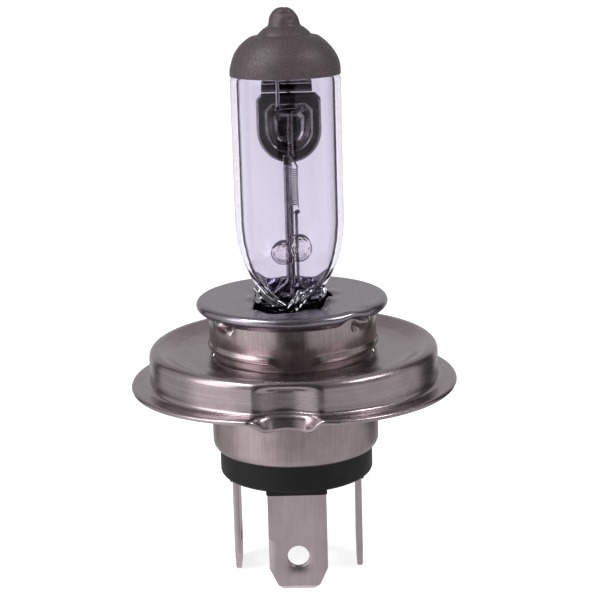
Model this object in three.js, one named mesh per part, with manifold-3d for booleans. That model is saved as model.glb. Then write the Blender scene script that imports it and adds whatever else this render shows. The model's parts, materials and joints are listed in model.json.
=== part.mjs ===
// Two-filament halogen headlight bulb on a round 45 mm flange with three contact blades.
// Millimetres, +Z up. The origin is the point midway between the three blade tips, and the
// bulb stands on them with its glass capsule upwards. Inside the lamp group, heights are
// measured from the middle of the flange lip, the plane that seats in the headlight.
import * as THREE from 'three';
import { mergeVertices } from 'three/addons/utils/BufferGeometryUtils.js';
import Module from 'manifold-3d';

const wasm = await Module();
wasm.setup();

// Driving dimensions
const FLANGE_HEIGHT = 27.2;      // flange plane above the blade tips
const FLANGE_R = 22.5;           // the 45 mm lip
const SHEET = 0.7;               // flange sheet thickness
const CROWN_R = 19.9;            // outer wall of the raised crown
const CROWN_TOP = 5.3;           // top of its rounded rim
const PLATE_TOP = 4.0;           // dished plate inside the rim
const NECK_R = 10.95;            // base shell above the flange
const SKIRT_R = 11.55;           // base shell below it
const SKIRT_BOTTOM = -9.3;
const SLEEVE_R = 11.5;           // focusing sleeve that slides on the neck
const SLEEVE_BOTTOM = 5.9;
const DISC_R = 13.15;            // retainer disc that carries the glass
const DISC_TOP = 11.8;
const BODY_R = 10.65;            // black insulator
const BODY_BOTTOM = -13.1;
const ROOT_HEIGHT = 0.5;         // raised root round each blade, below the insulator's underside
const BLADE_W = 8.0;
const BLADE_T = 0.8;
const TANG_T = 0.6;              // the blade is thinner where it is held in the insulator
const BLADE_TOP = -3.2;
const SIDE_BLADE_X = 8.55;       // middle of each side blade from the axis
const FRONT_BLADE_Y = -9.2;      // middle of the front blade
const GLASS_R = 7.4;
const GLASS_WALL = 1.1;
const DOME_BASE = 42.1;          // where the tube turns into the dome, and the coat begins
const PINCH_W = 9.0;
const PINCH_T = 3.6;
const PINCH_BOTTOM = 3.5;
const PINCH_TOP = 12.6;
const LEAD_SPREAD = 2.5;         // spacing of the three leads inside the pinch
const ROD_R = 0.375;             // centre support rod
const WIRE_R = 0.3;              // lead to the dipped filament
const THIN_WIRE_R = 0.2;         // lead to the main filament
const PIN_R = 0.4;               // outer pins below the pinch
const BORE_GAP = 0.15;           // room round every wire that passes through glass or ceramic
const ROD = [-0.25, 0.1];        // x, y of the support rod
const WIRE = [0.3, 1.0];         // x, y of the dipped filament's lead
const THIN_WIRE = [0.95, 0.1];   // x, y of the main filament's lead
const COIL_Y = -0.45;            // both filaments stand just in front of the axis

const FINISH = {
  flange: { color: 0xa2969b, roughness: 0.35, metalness: 1.0 },
  disc: { color: 0x8f868b, roughness: 0.38, metalness: 1.0 },
  sleeve: { color: 0x9a8c8f, roughness: 0.4, metalness: 1.0 },
  blade: { color: 0x9f9093, roughness: 0.42, metalness: 1.0 },
  insulator: { color: 0x232124, roughness: 0.6, metalness: 0.0 },
  glass: { color: 0xe6e2f2, roughness: 0.03, metalness: 0.0 },
  coat: { color: 0x5d5155, roughness: 0.7, metalness: 0.15 },
  shield: { color: 0x4a4646, roughness: 0.25, metalness: 1.0 },
  wire: { color: 0x6f6a70, roughness: 0.35, metalness: 1.0 },
  tungsten: { color: 0xb8b2b0, roughness: 0.3, metalness: 1.0 },
};

// Welds a geometry's vertices, drops faces with no area and turns every face outwards.
function clean(geometry) {
  const bare = geometry.clone();
  bare.deleteAttribute('normal');
  bare.deleteAttribute('uv');
  const welded = mergeVertices(bare.index ? bare.toNonIndexed() : bare, 1e-4);
  const p = welded.attributes.position;
  const kept = [];
  let volume = 0;
  for (let i = 0; i < welded.index.count; i += 3) {
    const [a, b, c] = [0, 1, 2].map((k) => welded.index.getX(i + k));
    if (a === b || b === c || c === a) continue;
    kept.push([a, b, c]);
    const [va, vb, vc] = [a, b, c].map((k) => new THREE.Vector3().fromBufferAttribute(p, k));
    volume += va.dot(vb.cross(vc));
  }
  welded.setIndex(kept.flatMap(([a, b, c]) => (volume < 0 ? [a, c, b] : [a, b, c])));
  return welded;
}

function toSolid(geometry) {
  const g = clean(geometry);
  const mesh = new wasm.Mesh({
    numProp: 3,
    vertProperties: new Float32Array(g.attributes.position.array),
    triVerts: new Uint32Array(g.index.array),
  });
  return new wasm.Manifold(mesh);
}

function toGeometry(solid) {
  const mesh = solid.getMesh();
  const geometry = new THREE.BufferGeometry();
  geometry.setAttribute('position', new THREE.BufferAttribute(mesh.vertProperties, 3));
  geometry.setIndex(new THREE.BufferAttribute(mesh.triVerts, 1));
  return geometry;
}

function cut(geometry, ...tools) {
  return toGeometry(tools.reduce((solid, tool) => solid.subtract(toSolid(tool)), toSolid(geometry)));
}

function join(...geometries) {
  return toGeometry(geometries.map(toSolid).reduce((a, b) => a.add(b)));
}

// A body of revolution about Z from [radius, height] pairs.
function lathe(profile, segments = 48) {
  const points = profile.map(([r, z]) => new THREE.Vector2(r, z));
  return new THREE.LatheGeometry(points, segments).rotateX(Math.PI / 2);
}

// The same for a ring: the profile closes on itself.
function ring(profile, segments = 48) {
  return lathe([...profile, profile[0]], segments);
}

// Points of a circular arc, from one angle to another in degrees.
function arc(cx, cy, radius, from, to, steps) {
  return Array.from({ length: steps + 1 }, (_, i) => {
    const a = THREE.MathUtils.degToRad(from + ((to - from) * i) / steps);
    return [cx + radius * Math.cos(a), cy + radius * Math.sin(a)];
  });
}

// Moves every vertex of a geometry by a rule.
function reshape(geometry, rule) {
  const p = geometry.attributes.position;
  for (let i = 0; i < p.count; i += 1) {
    p.setXYZ(i, ...rule(p.getX(i), p.getY(i), p.getZ(i)));
  }
  return geometry;
}

const smooth = (x, from, to) => THREE.MathUtils.smoothstep(x, from, to);

function block(width, depth, height, x, y, zLow) {
  return new THREE.BoxGeometry(width, depth, height).translate(x, y, zLow + height / 2);
}

function upright(radius, zLow, zHigh, x, y, sides = 12) {
  return new THREE.CylinderGeometry(radius, radius, zHigh - zLow, sides)
    .rotateX(Math.PI / 2)
    .translate(x, y, (zLow + zHigh) / 2);
}

// A wire of round section along a smooth curve through the points.
function wire(points, radius, steps, sides = 8) {
  const curve = new THREE.CatmullRomCurve3(points.map((p) => new THREE.Vector3(...p)), false, 'centripetal');
  return swept(curve, radius, steps, sides);
}

function swept(curve, radius, steps, sides) {
  const corners = arc(0, 0, radius, 0, 360 - 360 / sides, sides - 1);
  const section = new THREE.Shape(corners.map((p) => new THREE.Vector2(...p)));
  return new THREE.ExtrudeGeometry(section, { steps, extrudePath: curve, bevelEnabled: false });
}

// A sheet outline drawn in X and Z, given a thickness along +Y from yLow.
function sheetXZ(outline, holes, thickness, yLow) {
  const shape = new THREE.Shape(outline.map((p) => new THREE.Vector2(...p)));
  shape.holes = holes.map((hole) => new THREE.Path(hole.map((p) => new THREE.Vector2(...p))));
  return new THREE.ExtrudeGeometry(shape, { depth: thickness, bevelEnabled: false })
    .rotateX(Math.PI / 2)
    .translate(0, yLow + thickness, 0);
}

// A helix with a straight leg at each end, for a filament.
class CoilCurve extends THREE.Curve {
  constructor({ x, y, low, high, radius, turns, leg }) {
    super();
    Object.assign(this, { x, y, low, high, radius, turns, leg });
  }

  getPoint(t, target = new THREE.Vector3()) {
    const legShare = 0.04;
    if (t < legShare) {
      return target.set(this.x + this.radius, this.y, this.low - this.leg * (1 - t / legShare));
    }
    if (t > 1 - legShare) {
      return target.set(this.x + this.radius, this.y, this.high + this.leg * ((t - 1) / legShare + 1));
    }
    const s = (t - legShare) / (1 - 2 * legShare);
    const a = 2 * Math.PI * this.turns * s;
    const z = this.low + (this.high - this.low) * s;
    return target.set(this.x + this.radius * Math.cos(a), this.y + this.radius * Math.sin(a), z);
  }
}

// Flange: lip, outer wall and dished crown pressed from one sheet, with an indexing dent and a
// tongue turned down at the front.
const DENT_ANGLE = 15;           // half-width of the dent round the rim, in degrees
const DENT_DEPTH = 2.2;
const FOLD_R = 20.3;             // the tongue folds down from here
const FOLD_ANGLE = 55;
const TONGUE_LENGTH = 0.6;       // length of the tongue as a share of the lip's width

function indexingDent(x, y, z) {
  const angle = Math.abs(THREE.MathUtils.radToDeg(Math.atan2(x, -y)));
  const radius = Math.hypot(x, y);
  if (radius < 15 || angle > DENT_ANGLE) return [x, y, z];
  let r = radius;
  let h = z;
  if (radius > FOLD_R) {
    const share = 1 - smooth(angle, 10.5, DENT_ANGLE);
    const fold = THREE.MathUtils.degToRad(FOLD_ANGLE) * share;
    const reach = (radius - FOLD_R) * (1 - (1 - TONGUE_LENGTH) * share);
    r = FOLD_R + reach * Math.cos(fold) + z * Math.sin(fold);
    h = z * Math.cos(fold) - reach * Math.sin(fold);
  }
  r -= DENT_DEPTH * (1 - (angle / DENT_ANGLE) ** 2) * (1 - smooth(z, 2, 4.6)) * smooth(radius, 17, 19);
  return [(x * r) / radius, (y * r) / radius, h];
}

function flangeRing() {
  const half = SHEET / 2;
  const profile = [
    [NECK_R + 0.2, PLATE_TOP],
    [15.6, PLATE_TOP + 0.1],
    [17.6, PLATE_TOP + 0.7],
    ...arc(CROWN_R - 1.1, CROWN_TOP - 1.1, 1.1, 100, 0, 4),
    ...arc(CROWN_R + 1, 1 + half, 1, 180, 270, 2),
    [FLANGE_R - 0.2, half],
    [FLANGE_R, 0],
    [FLANGE_R - 0.2, -half],
    ...arc(CROWN_R + 1, 1 + half, 1 + SHEET, 270, 180, 2),
    ...arc(CROWN_R - 1.1, CROWN_TOP - 1.1, 1.1 - SHEET, 0, 100, 2),
    [17.8, PLATE_TOP - 0.05],
    [15.6, PLATE_TOP + 0.1 - SHEET],
    [NECK_R + 0.2, PLATE_TOP - SHEET],
  ];
  const body = reshape(ring(profile, 72), indexingDent);
  const notches = [-1, 1].map((side) => block(3, 2.6, 3, side * (NECK_R + 0.6), -1.2, PLATE_TOP - 1.5));
  return cut(body, ...notches);
}

// Base shell: one drawn tube with a shoulder under the crown plate and a lower edge crimped in.
function baseShell() {
  const wall = 0.5;
  const shoulder = PLATE_TOP - SHEET - 0.15;
  return ring([
    [NECK_R - wall, 9],
    [NECK_R, 9],
    [NECK_R, shoulder + 0.3],
    [SKIRT_R - 0.3, shoulder],
    [SKIRT_R, shoulder - 0.3],
    ...arc(SKIRT_R - 0.6, SKIRT_BOTTOM + 0.6, 0.6, 0, -90, 3),
    [BODY_R + 0.15, SKIRT_BOTTOM],
    [BODY_R + 0.15, SKIRT_BOTTOM + wall],
    [SKIRT_R - wall, SKIRT_BOTTOM + wall + 0.3],
    [SKIRT_R - wall, shoulder - 0.5],
    [NECK_R - wall, shoulder - 0.2],
  ], 40);
}

// Focusing sleeve: slides on the neck, flares at its foot, and has two crimps under the disc.
function focusingSleeve() {
  const inner = NECK_R + 0.12;
  const tube = ring([
    [inner, SLEEVE_BOTTOM],
    [SLEEVE_R + 0.15, SLEEVE_BOTTOM],
    [SLEEVE_R + 0.3, SLEEVE_BOTTOM + 0.3],
    [SLEEVE_R + 0.2, SLEEVE_BOTTOM + 0.7],
    [SLEEVE_R, SLEEVE_BOTTOM + 1.2],
    [SLEEVE_R, DISC_TOP - 0.75],
    [inner, DISC_TOP - 0.75],
  ]);
  const crimps = [-52, 48].map((angle) => new THREE.BoxGeometry(1.8, 1.1, 1.5)
    .translate(0, -SLEEVE_R - 0.15, DISC_TOP - 2.1)
    .rotateZ(THREE.MathUtils.degToRad(angle)));
  return join(tube, ...crimps);
}

// Retainer disc: a shallow lid with a rolled rim and an opening for the pinch and its clips.
function retainerDisc() {
  const sheet = 0.6;
  const lid = lathe([
    [0, DISC_TOP],
    [DISC_R - 0.8, DISC_TOP],
    ...arc(DISC_R - 0.8, DISC_TOP - 0.8, 0.8, 65, 0, 2),
    [DISC_R, DISC_TOP - 1.6],
    [DISC_R - 0.25, DISC_TOP - 2],
    [DISC_R - sheet, DISC_TOP - 1.9],
    [DISC_R - sheet, DISC_TOP - 0.9],
    [DISC_R - 0.85, DISC_TOP - sheet],
    [0, DISC_TOP - sheet],
  ]);
  const outline = [[-5.3, -7.9], [4.3, -7], [5.7, 1.4], [5.2, 4.4], [-5.3, 4.4]];
  const opening = new THREE.ExtrudeGeometry(
    new THREE.Shape(outline.map((p) => new THREE.Vector2(...p))),
    { depth: 3, bevelEnabled: false },
  ).translate(0, 0, DISC_TOP - 1.5);
  return cut(lid, opening);
}

// Spring clip: a leaf hooked over the disc's opening and folded against one face of the pinch.
function pinchClip(side) {
  const near = PINCH_T / 2 + 0.25;
  const profile = [
    [near, 4], [near + 0.35, 4], [near + 0.35, 12.1], [near + 1.2, 13.5], [near + 0.95, 13.75], [near, 12.2],
  ];
  const shape = new THREE.Shape(profile.map(([y, z]) => new THREE.Vector2(side * y, z)));
  const leaf = new THREE.ExtrudeGeometry(shape, { depth: PINCH_W - 0.6, bevelEnabled: false })
    .rotateX(Math.PI / 2)
    .rotateZ(Math.PI / 2)
    .translate(-(PINCH_W - 0.6) / 2, 0, 0);
  return cut(leaf, block(1.2, 6, 4, 0.6, side * near, 12.4));
}

// Radius of the glass outside the dome, from the tube up to the exhaust tip.
function domeProfile(grow) {
  const shoulder = arc(0, DOME_BASE + 0.5, GLASS_R, 0, 52, 6)
    .map(([r, z]) => [r + grow, DOME_BASE + 0.5 + (z - DOME_BASE - 0.5) * 0.78 + grow * 0.4]);
  return [
    [GLASS_R + grow, DOME_BASE],
    ...shoulder,
    [3.75 + grow, 47.35 + grow],
    [3.0 + grow, 48.2 + grow],
    [2.1 + grow, 48.6 + grow],
    [1.95 + grow, 49.9 + grow],
    [1.3 + grow, 50.7 + grow],
    [0, 50.95 + grow],
  ];
}

const COAT_GAP = 0.06;
const COAT = 0.18;
const CLEAR = -0.24;             // the glass dome sits this far inside the outline of the coat

function glassEnvelope() {
  const outer = lathe([
    [0, 12.2], [4.45, 12.2], [5.17, 13.85], [5.9, 15.25], [6.49, 16.6], [6.96, 18], [7.28, 20.2],
    [GLASS_R, 22.3],
    [GLASS_R, DOME_BASE - 0.1],
    ...domeProfile(CLEAR),
  ], 32);
  reshape(outer, (x, y, z) => [x, y * (0.405 + 0.595 * smooth(z, 12.2, 21.5)), z]);
  const inside = GLASS_R - GLASS_WALL;
  const cavity = lathe([
    [0, 13.4], [3.1, 13.4], [3.6, 14], [4.6, 15.5], [5.5, 17.5], [6.05, 20], [inside, 22.3],
    [inside, DOME_BASE],
    ...arc(0, DOME_BASE, inside, 18, 72, 4).map(([r, z]) => [r, DOME_BASE + (z - DOME_BASE) * 0.72]),
    [0, DOME_BASE + inside * 0.74],
  ], 32);
  reshape(cavity, (x, y, z) => [x, y * (0.35 + 0.65 * smooth(z, 14, 22)), z]);
  const pinch = block(PINCH_W, PINCH_T, PINCH_TOP - PINCH_BOTTOM, 0, 0, PINCH_BOTTOM);
  const leads = [ROD_R, WIRE_R, THIN_WIRE_R].flatMap((radius, i) => {
    const x = (i - 1) * LEAD_SPREAD;
    return [
      upright(radius + BORE_GAP, 11, 14, x, 0),
      block(2.1, 0.6, 6.6, x, 0, 4.7),
      upright(PIN_R + BORE_GAP, PINCH_BOTTOM - 1, 5, x, 0),
    ];
  });
  return cut(join(outer, pinch), cavity, ...leads);
}

// Opaque coat over the dome: a thin shell a hair outside the glass.
function antiGlareCap() {
  const outside = domeProfile(CLEAR + COAT_GAP + COAT);
  outside[0][1] = DOME_BASE + 0.02;
  const inside = domeProfile(CLEAR + COAT_GAP);
  const rim = [GLASS_R + COAT_GAP, DOME_BASE + 0.02];
  outside[0][0] = GLASS_R + COAT_GAP + 0.09;
  return lathe([...[...inside].reverse().slice(0, -1), rim, ...outside], 32);
}

// Dipped-beam shield: a spoon with its open side forwards.
const SHIELD = { half: 4.3, low: 30.3, high: 39.5, front: 0.55, rim: 0.4, depth: 2.7, x: 0.3 };

function spoonOutline(inset) {
  const { half, low, high, x } = SHIELD;
  const w = half - inset;
  const top = high - inset * 1.4;
  const turn = low + half;
  return [
    [x + w - 0.7, top],
    [x - w + 0.7, top],
    [x - w, top - 0.7],
    ...arc(x, turn, w, 180, 360, 12),
    [x + w, top - 0.7],
  ];
}

function dippedBeamShield() {
  const { front, rim, depth } = SHIELD;
  const plate = sheetXZ(spoonOutline(0), [], rim, front);
  const bowl = sheetXZ(spoonOutline(0.7), [], depth, front);
  const taper = (x, y, z) => {
    const k = 1 - 0.16 * smooth(y, front + 0.4, front + depth);
    return [SHIELD.x + (x - SHIELD.x) * k, y, SHIELD.low + 5 + (z - SHIELD.low - 5) * k];
  };
  const recess = sheetXZ(spoonOutline(1.1), [], depth - 0.4 + 1, front - 1);
  return cut(join(plate, reshape(bowl, taper)), reshape(recess, taper));
}

// Folded strip that stiffens the top edge of the shield.
function shieldTopFold() {
  const ridge = [];
  for (let i = 0; i <= 6; i += 1) {
    ridge.push([SHIELD.front + 0.15 + (i % 2) * 0.55, SHIELD.high + 0.15 + i * 0.42]);
  }
  const back = ridge.map(([y, z]) => [y + 0.3, z]).reverse();
  const shape = new THREE.Shape([...ridge, ...back].map((p) => new THREE.Vector2(...p)));
  return new THREE.ExtrudeGeometry(shape, { depth: 7, bevelEnabled: false })
    .rotateX(Math.PI / 2)
    .rotateZ(Math.PI / 2)
    .translate(-3.4, 0, 0);
}

// Three conductors stand in the capsule: they spread apart below the bridge to enter the pinch.
function supportRod() {
  const [x, y] = ROD;
  return wire([
    [-LEAD_SPREAD, 0, 11.3], [-LEAD_SPREAD, 0, 13.2], [x - 0.9, y, 14.5], [x, y, 15.6], [x, y, 16.2],
    [x, y, 23], [x, y, 29.9],
  ], ROD_R, 22, 10);
}

function dippedLead() {
  const [x, y] = WIRE;
  return wire([
    [0, 0, 11.3], [0, 0, 13.2], [x, y, 15.5], [x, y, 16.2], [x, y, 21], [x, y, 26],
    [x, 2.4, 28.4], [x, 4.2, 31], [x, 4.3, 36], [x - 0.3, 4.2, 41.4], [x - 0.8, 2.6, 42.6],
    [-1.1, 0.2, 42.3], [-1.1, -0.5, 41], [-1.1, -0.5, 38.1],
  ], WIRE_R, 40, 6);
}

function mainLead() {
  const [x, y] = THIN_WIRE;
  return wire([
    [LEAD_SPREAD, 0, 11.3], [LEAD_SPREAD, 0, 13.2], [x + 0.6, y, 14.5], [x, y, 15.6], [x, y, 16.2],
    [x, y, 20], [x, y, 23.2],
  ], THIN_WIRE_R, 20);
}

const DIPPED_COIL = { x: 0.5, y: COIL_Y, low: 31.5, high: 37, radius: 0.52, turns: 11, leg: 0.3 };
const MAIN_COIL = { x: 0.8, y: COIL_Y, low: 24.6, high: 29.6, radius: 0.5, turns: 10, leg: 0.3 };

function filament(coil) {
  return swept(new CoilCurve(coil), 0.1, coil.turns * 8, 5);
}

// Clamps that pinch the filament legs to their conductors.
function upperClamp() {
  return block(2.8, 0.4, 0.4, -0.1, COIL_Y, 37.45);
}

// Fused quartz bridge that keeps the three conductors apart.
function quartzBridge() {
  const lobe = (x, z, rx, rz) => new THREE.SphereGeometry(1, 16, 10).scale(rx, 1.55, rz).translate(x, 0.4, z);
  const bead = join(lobe(-0.9, 18.1, 1.9, 1.75), lobe(1.2, 18.6, 1.95, 1.95));
  return cut(
    bead,
    upright(ROD_R + BORE_GAP, 15, 22, ...ROD, 10),
    upright(WIRE_R + BORE_GAP, 15, 22, ...WIRE, 8),
    upright(THIN_WIRE_R + BORE_GAP, 15, 22, ...THIN_WIRE, 8),
  );
}

// Insulator: black plug crimped into the skirt, with a slot and a raised root for each blade.
function insulator() {
  const plug = lathe([
    [0, BODY_BOTTOM],
    [BODY_R - 1, BODY_BOTTOM],
    [BODY_R - 0.3, BODY_BOTTOM + 0.3],
    [BODY_R, BODY_BOTTOM + 1],
    [BODY_R, SKIRT_BOTTOM + 0.6],
    [SKIRT_R - 0.65, SKIRT_BOTTOM + 1.1],
    [SKIRT_R - 0.65, BLADE_TOP - 1],
    [0, BLADE_TOP - 1],
  ]);
  const roots = BLADES.map(({ x, y, turn }) => placed(
    block(BLADE_W + 0.9, 1.9, 2 * ROOT_HEIGHT, 0, 0, BODY_BOTTOM - ROOT_HEIGHT), x, y, turn));
  const slots = BLADES.map(({ x, y, turn }) => placed(
    block(BLADE_W + 0.3, TANG_T + 0.3, 30, 0, 0, BODY_BOTTOM - 15), x, y, turn));
  return cut(join(plug, ...roots), ...slots);
}

const BLADES = [
  { name: 'blade_front', x: 0, y: FRONT_BLADE_Y, turn: 0 },
  { name: 'blade_left', x: -SIDE_BLADE_X, y: 0, turn: -90 },
  { name: 'blade_right', x: SIDE_BLADE_X, y: 0, turn: 90 },
];

function placed(geometry, x, y, turn) {
  return geometry.rotateZ(THREE.MathUtils.degToRad(turn)).translate(x, y, 0);
}

// Contact blade: 8 by 0.8 mm with a locking hole and a chamfered tip, on a thinner tang.
function blade({ x, y, turn }) {
  const tip = -FLANGE_HEIGHT;
  const half = BLADE_W / 2;
  const shoulder = BODY_BOTTOM - ROOT_HEIGHT - 0.1;
  const outline = [
    [-half, shoulder], [-half, tip + 2.9], [-2.65, tip], [2.65, tip], [half, tip + 2.9], [half, shoulder],
  ];
  const hole = arc(0, tip + 4.7, 1.5, 0, 345, 23);
  const tab = sheetXZ(outline, [hole], BLADE_T, -BLADE_T / 2);
  const tang = block(BLADE_W, TANG_T, BLADE_TOP - shoulder + 1, 0, 0, shoulder - 1);
  return placed(join(tab, tang), x, y, turn);
}

// Outer pin from the pinch down to the head of a blade.
function outerPin(index) {
  const x = (index - 1) * LEAD_SPREAD;
  const ends = [[-7.5, 0], [0, -8.15], [7.5, 0]];
  const [ex, ey] = ends[index];
  const bend = [(x + ex) / 2, ey / 2, -1.6];
  return wire([[x, 0, 4.8], [x, 0, 2.2], bend, [ex, ey, -3.1], [ex, ey, -4]], PIN_R, 16);
}

function foil(index) {
  return block(1.7, 0.12, 5.9, (index - 1) * LEAD_SPREAD, 0, 5.1);
}

// The assembly
const lamp = new THREE.Group();
lamp.position.z = FLANGE_HEIGHT;

function add(name, geometry, finish) {
  const solid = clean(geometry);
  solid.computeVertexNormals();
  const mesh = new THREE.Mesh(solid, new THREE.MeshStandardMaterial(FINISH[finish]));
  mesh.name = name;
  lamp.add(mesh);
}

add('flange_ring', flangeRing(), 'flange');
add('base_shell', baseShell(), 'sleeve');
add('focusing_sleeve', focusingSleeve(), 'sleeve');
add('retainer_disc', retainerDisc(), 'disc');
add('pinch_clip_front', pinchClip(-1), 'disc');
add('pinch_clip_rear', pinchClip(1), 'disc');
add('glass_envelope', glassEnvelope(), 'glass');
add('anti_glare_cap', antiGlareCap(), 'coat');
add('dipped_beam_shield', dippedBeamShield(), 'shield');
add('shield_top_fold', shieldTopFold(), 'shield');
add('support_rod', supportRod(), 'wire');
add('support_clamp', block(0.9, 0.35, 1.2, ROD[0] + 0.05, 0.3 - 0.03, 30.0), 'wire');
add('dipped_lead', dippedLead(), 'wire');
add('main_lead', mainLead(), 'wire');
add('dipped_filament', filament(DIPPED_COIL), 'tungsten');
add('main_filament', filament(MAIN_COIL), 'tungsten');
add('upper_leg_clamp', upperClamp(), 'wire');
add('middle_leg_clamp', block(0.95, 0.45, 0.55, 1.1, COIL_Y, 30.15), 'wire');
add('lower_leg_clamp', block(0.5, 0.5, 0.5, 1.25, COIL_Y, 23.6), 'wire');
add('quartz_bridge', quartzBridge(), 'glass');
['support', 'dipped', 'main'].forEach((name, i) => {
  add(`${name}_foil`, foil(i), 'wire');
  add(`${name}_outer_pin`, outerPin(i), 'wire');
});
add('insulator', insulator(), 'insulator');
BLADES.forEach((spec) => add(spec.name, blade(spec), 'blade'));

const headlightBulb = new THREE.Group();
headlightBulb.add(lamp);
export default headlightBulb;
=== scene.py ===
import json
import logging
import math
from dataclasses import dataclass, field
from enum import Enum
from typing import Any, Sequence

import bmesh
import bpy
import numpy as np
from mathutils import Matrix, Vector
from numpy.typing import NDArray


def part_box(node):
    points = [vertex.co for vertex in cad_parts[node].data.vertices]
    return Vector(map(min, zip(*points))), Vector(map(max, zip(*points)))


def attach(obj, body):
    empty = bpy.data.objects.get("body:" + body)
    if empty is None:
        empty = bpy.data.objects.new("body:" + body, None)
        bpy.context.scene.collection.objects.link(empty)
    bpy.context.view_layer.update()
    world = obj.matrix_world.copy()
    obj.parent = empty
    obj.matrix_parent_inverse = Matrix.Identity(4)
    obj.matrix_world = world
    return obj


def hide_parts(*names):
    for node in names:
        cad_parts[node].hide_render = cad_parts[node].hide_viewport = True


# Looks of a two-filament halogen headlight bulb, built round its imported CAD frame.
# Lengths are millimetres, and heights are measured from the flange plane, the middle of the
# lip that seats in the headlight. Angles go round the bulb's axis from the front (-Y) towards +X.
# Both become metres in the row frame when a mesh is made.

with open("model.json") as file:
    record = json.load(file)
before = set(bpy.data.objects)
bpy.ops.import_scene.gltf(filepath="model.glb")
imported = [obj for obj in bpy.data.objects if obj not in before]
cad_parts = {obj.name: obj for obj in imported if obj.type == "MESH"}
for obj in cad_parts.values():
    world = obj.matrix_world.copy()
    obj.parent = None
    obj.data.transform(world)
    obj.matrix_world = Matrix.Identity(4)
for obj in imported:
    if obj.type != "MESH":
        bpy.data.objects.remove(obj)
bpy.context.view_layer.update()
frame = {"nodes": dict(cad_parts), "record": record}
LOG = logging.getLogger("headlight_bulb")
MM = 0.001
Array = NDArray[np.float64]
Colour = tuple[float, float, float]


# ---------------------------------------------------------------------------------------------
# Places in the frame
# ---------------------------------------------------------------------------------------------


def flange_height() -> float:
    """Height of the flange plane above the blade tips: midway between the two faces of the lip."""
    mounts = {mount["name"]: mount["pos_m"][2] for mount in frame["record"]["mounts"]}
    return (mounts["flange_seat_top"] + mounts["flange_seat_under"]) / 2 / MM


FLANGE_Z = flange_height()


@dataclass(frozen=True)
class Extent:
    """Lowest and highest corner of a CAD node, in millimetres from the flange plane."""

    low: Array
    high: Array

    @classmethod
    def of(cls, node: str) -> "Extent":
        """The extent of one node of the frame.

        Args:
            node: the CAD node's name.

        Returns:
            Its corners in this script's millimetres.
        """
        low, high = (np.array(corner) / MM - (0, 0, FLANGE_Z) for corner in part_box(node))
        return cls(low, high)

    @property
    def middle(self) -> Array:
        """The middle of the box."""
        return (self.low + self.high) / 2

    @property
    def size(self) -> Array:
        """Width, depth and height of the box."""
        return self.high - self.low

    @property
    def radius(self) -> float:
        """Half the width, which is the radius of a node that is round about the axis."""
        return float(self.size[0] / 2)

    @property
    def bottom(self) -> float:
        """Lowest height."""
        return float(self.low[2])

    @property
    def top(self) -> float:
        """Highest height."""
        return float(self.high[2])


# ---------------------------------------------------------------------------------------------
# Curves and surfaces
# ---------------------------------------------------------------------------------------------


@dataclass
class Patch:
    """A surface as points, in millimetres, and faces of four corners each."""

    points: Array
    faces: NDArray[np.int64]

    def __add__(self, other: "Patch") -> "Patch":
        """Both surfaces in one."""
        shifted = other.faces + len(self.points)
        return Patch(np.vstack([self.points, other.points]), np.vstack([self.faces, shifted]))

    def turned(self, degrees: float) -> "Patch":
        """The surface turned about the axis, anticlockwise seen from above.

        Args:
            degrees: the angle.

        Returns:
            The turned surface.
        """
        a = math.radians(degrees)
        turn = np.array([[math.cos(a), math.sin(a), 0], [-math.sin(a), math.cos(a), 0], [0, 0, 1]])
        return Patch(self.points @ turn, self.faces)

    def inward(self) -> "Patch":
        """The surface with every face turned round."""
        return Patch(self.points, self.faces[:, ::-1])

    def outward(self) -> "Patch":
        """The closed surface with its faces pointing out: its signed volume is made positive.

        Returns:
            The surface, turned round if it was inside out.
        """
        a, b, c, d = (self.points[self.faces[:, k]] for k in range(4))
        volume = np.sum(a * (np.cross(b, c) + np.cross(c, d)))
        return self if volume > 0 else self.inward()


def grid(points: Array, around: bool = False, along: bool = False) -> Patch:
    """Quads between the neighbours of a grid of points.

    Args:
        points: an (n, m, 3) array.
        around: whether the first index closes on itself.
        along: whether the second index closes on itself.

    Returns:
        The surface through the points.
    """
    n, m, _ = points.shape
    i = np.arange(n if around else n - 1)[:, None]
    j = np.arange(m if along else m - 1)[None, :]
    i_next, j_next = (i + 1) % n, (j + 1) % m
    corners = (i * m + j, i_next * m + j, i_next * m + j_next, i * m + j_next)
    faces = np.stack(np.broadcast_arrays(*corners), -1).reshape(-1, 4)
    return Patch(points.reshape(-1, 3), faces)


def smooth(x: Array | float, low: float, high: float) -> Array:
    """A step from 0 at low to 1 at high that eases in and out: 3t^2 - 2t^3."""
    t = np.clip((np.asarray(x, float) - low) / (high - low), 0, 1)
    return t * t * (3 - 2 * t)


def bump(x: Array | float, centre: float, width: float) -> Array:
    """A bell of height 1 about a centre: exp(-(distance / width)^2)."""
    return np.exp(-(((np.asarray(x, float) - centre) / width) ** 2))


def arc(x: float, z: float, radius: float, start: float, end: float, steps: int = 12) -> Array:
    """Points of a circular arc in a profile.

    Args:
        x: distance of its centre from the axis.
        z: height of its centre.
        radius: its radius.
        start: first angle in degrees, 0 outwards and 90 up.
        end: last angle.
        steps: number of spans.

    Returns:
        A (steps + 1, 2) array.
    """
    a = np.radians(np.linspace(start, end, steps + 1))
    return np.stack([x + radius * np.cos(a), z + radius * np.sin(a)], -1)


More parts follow.
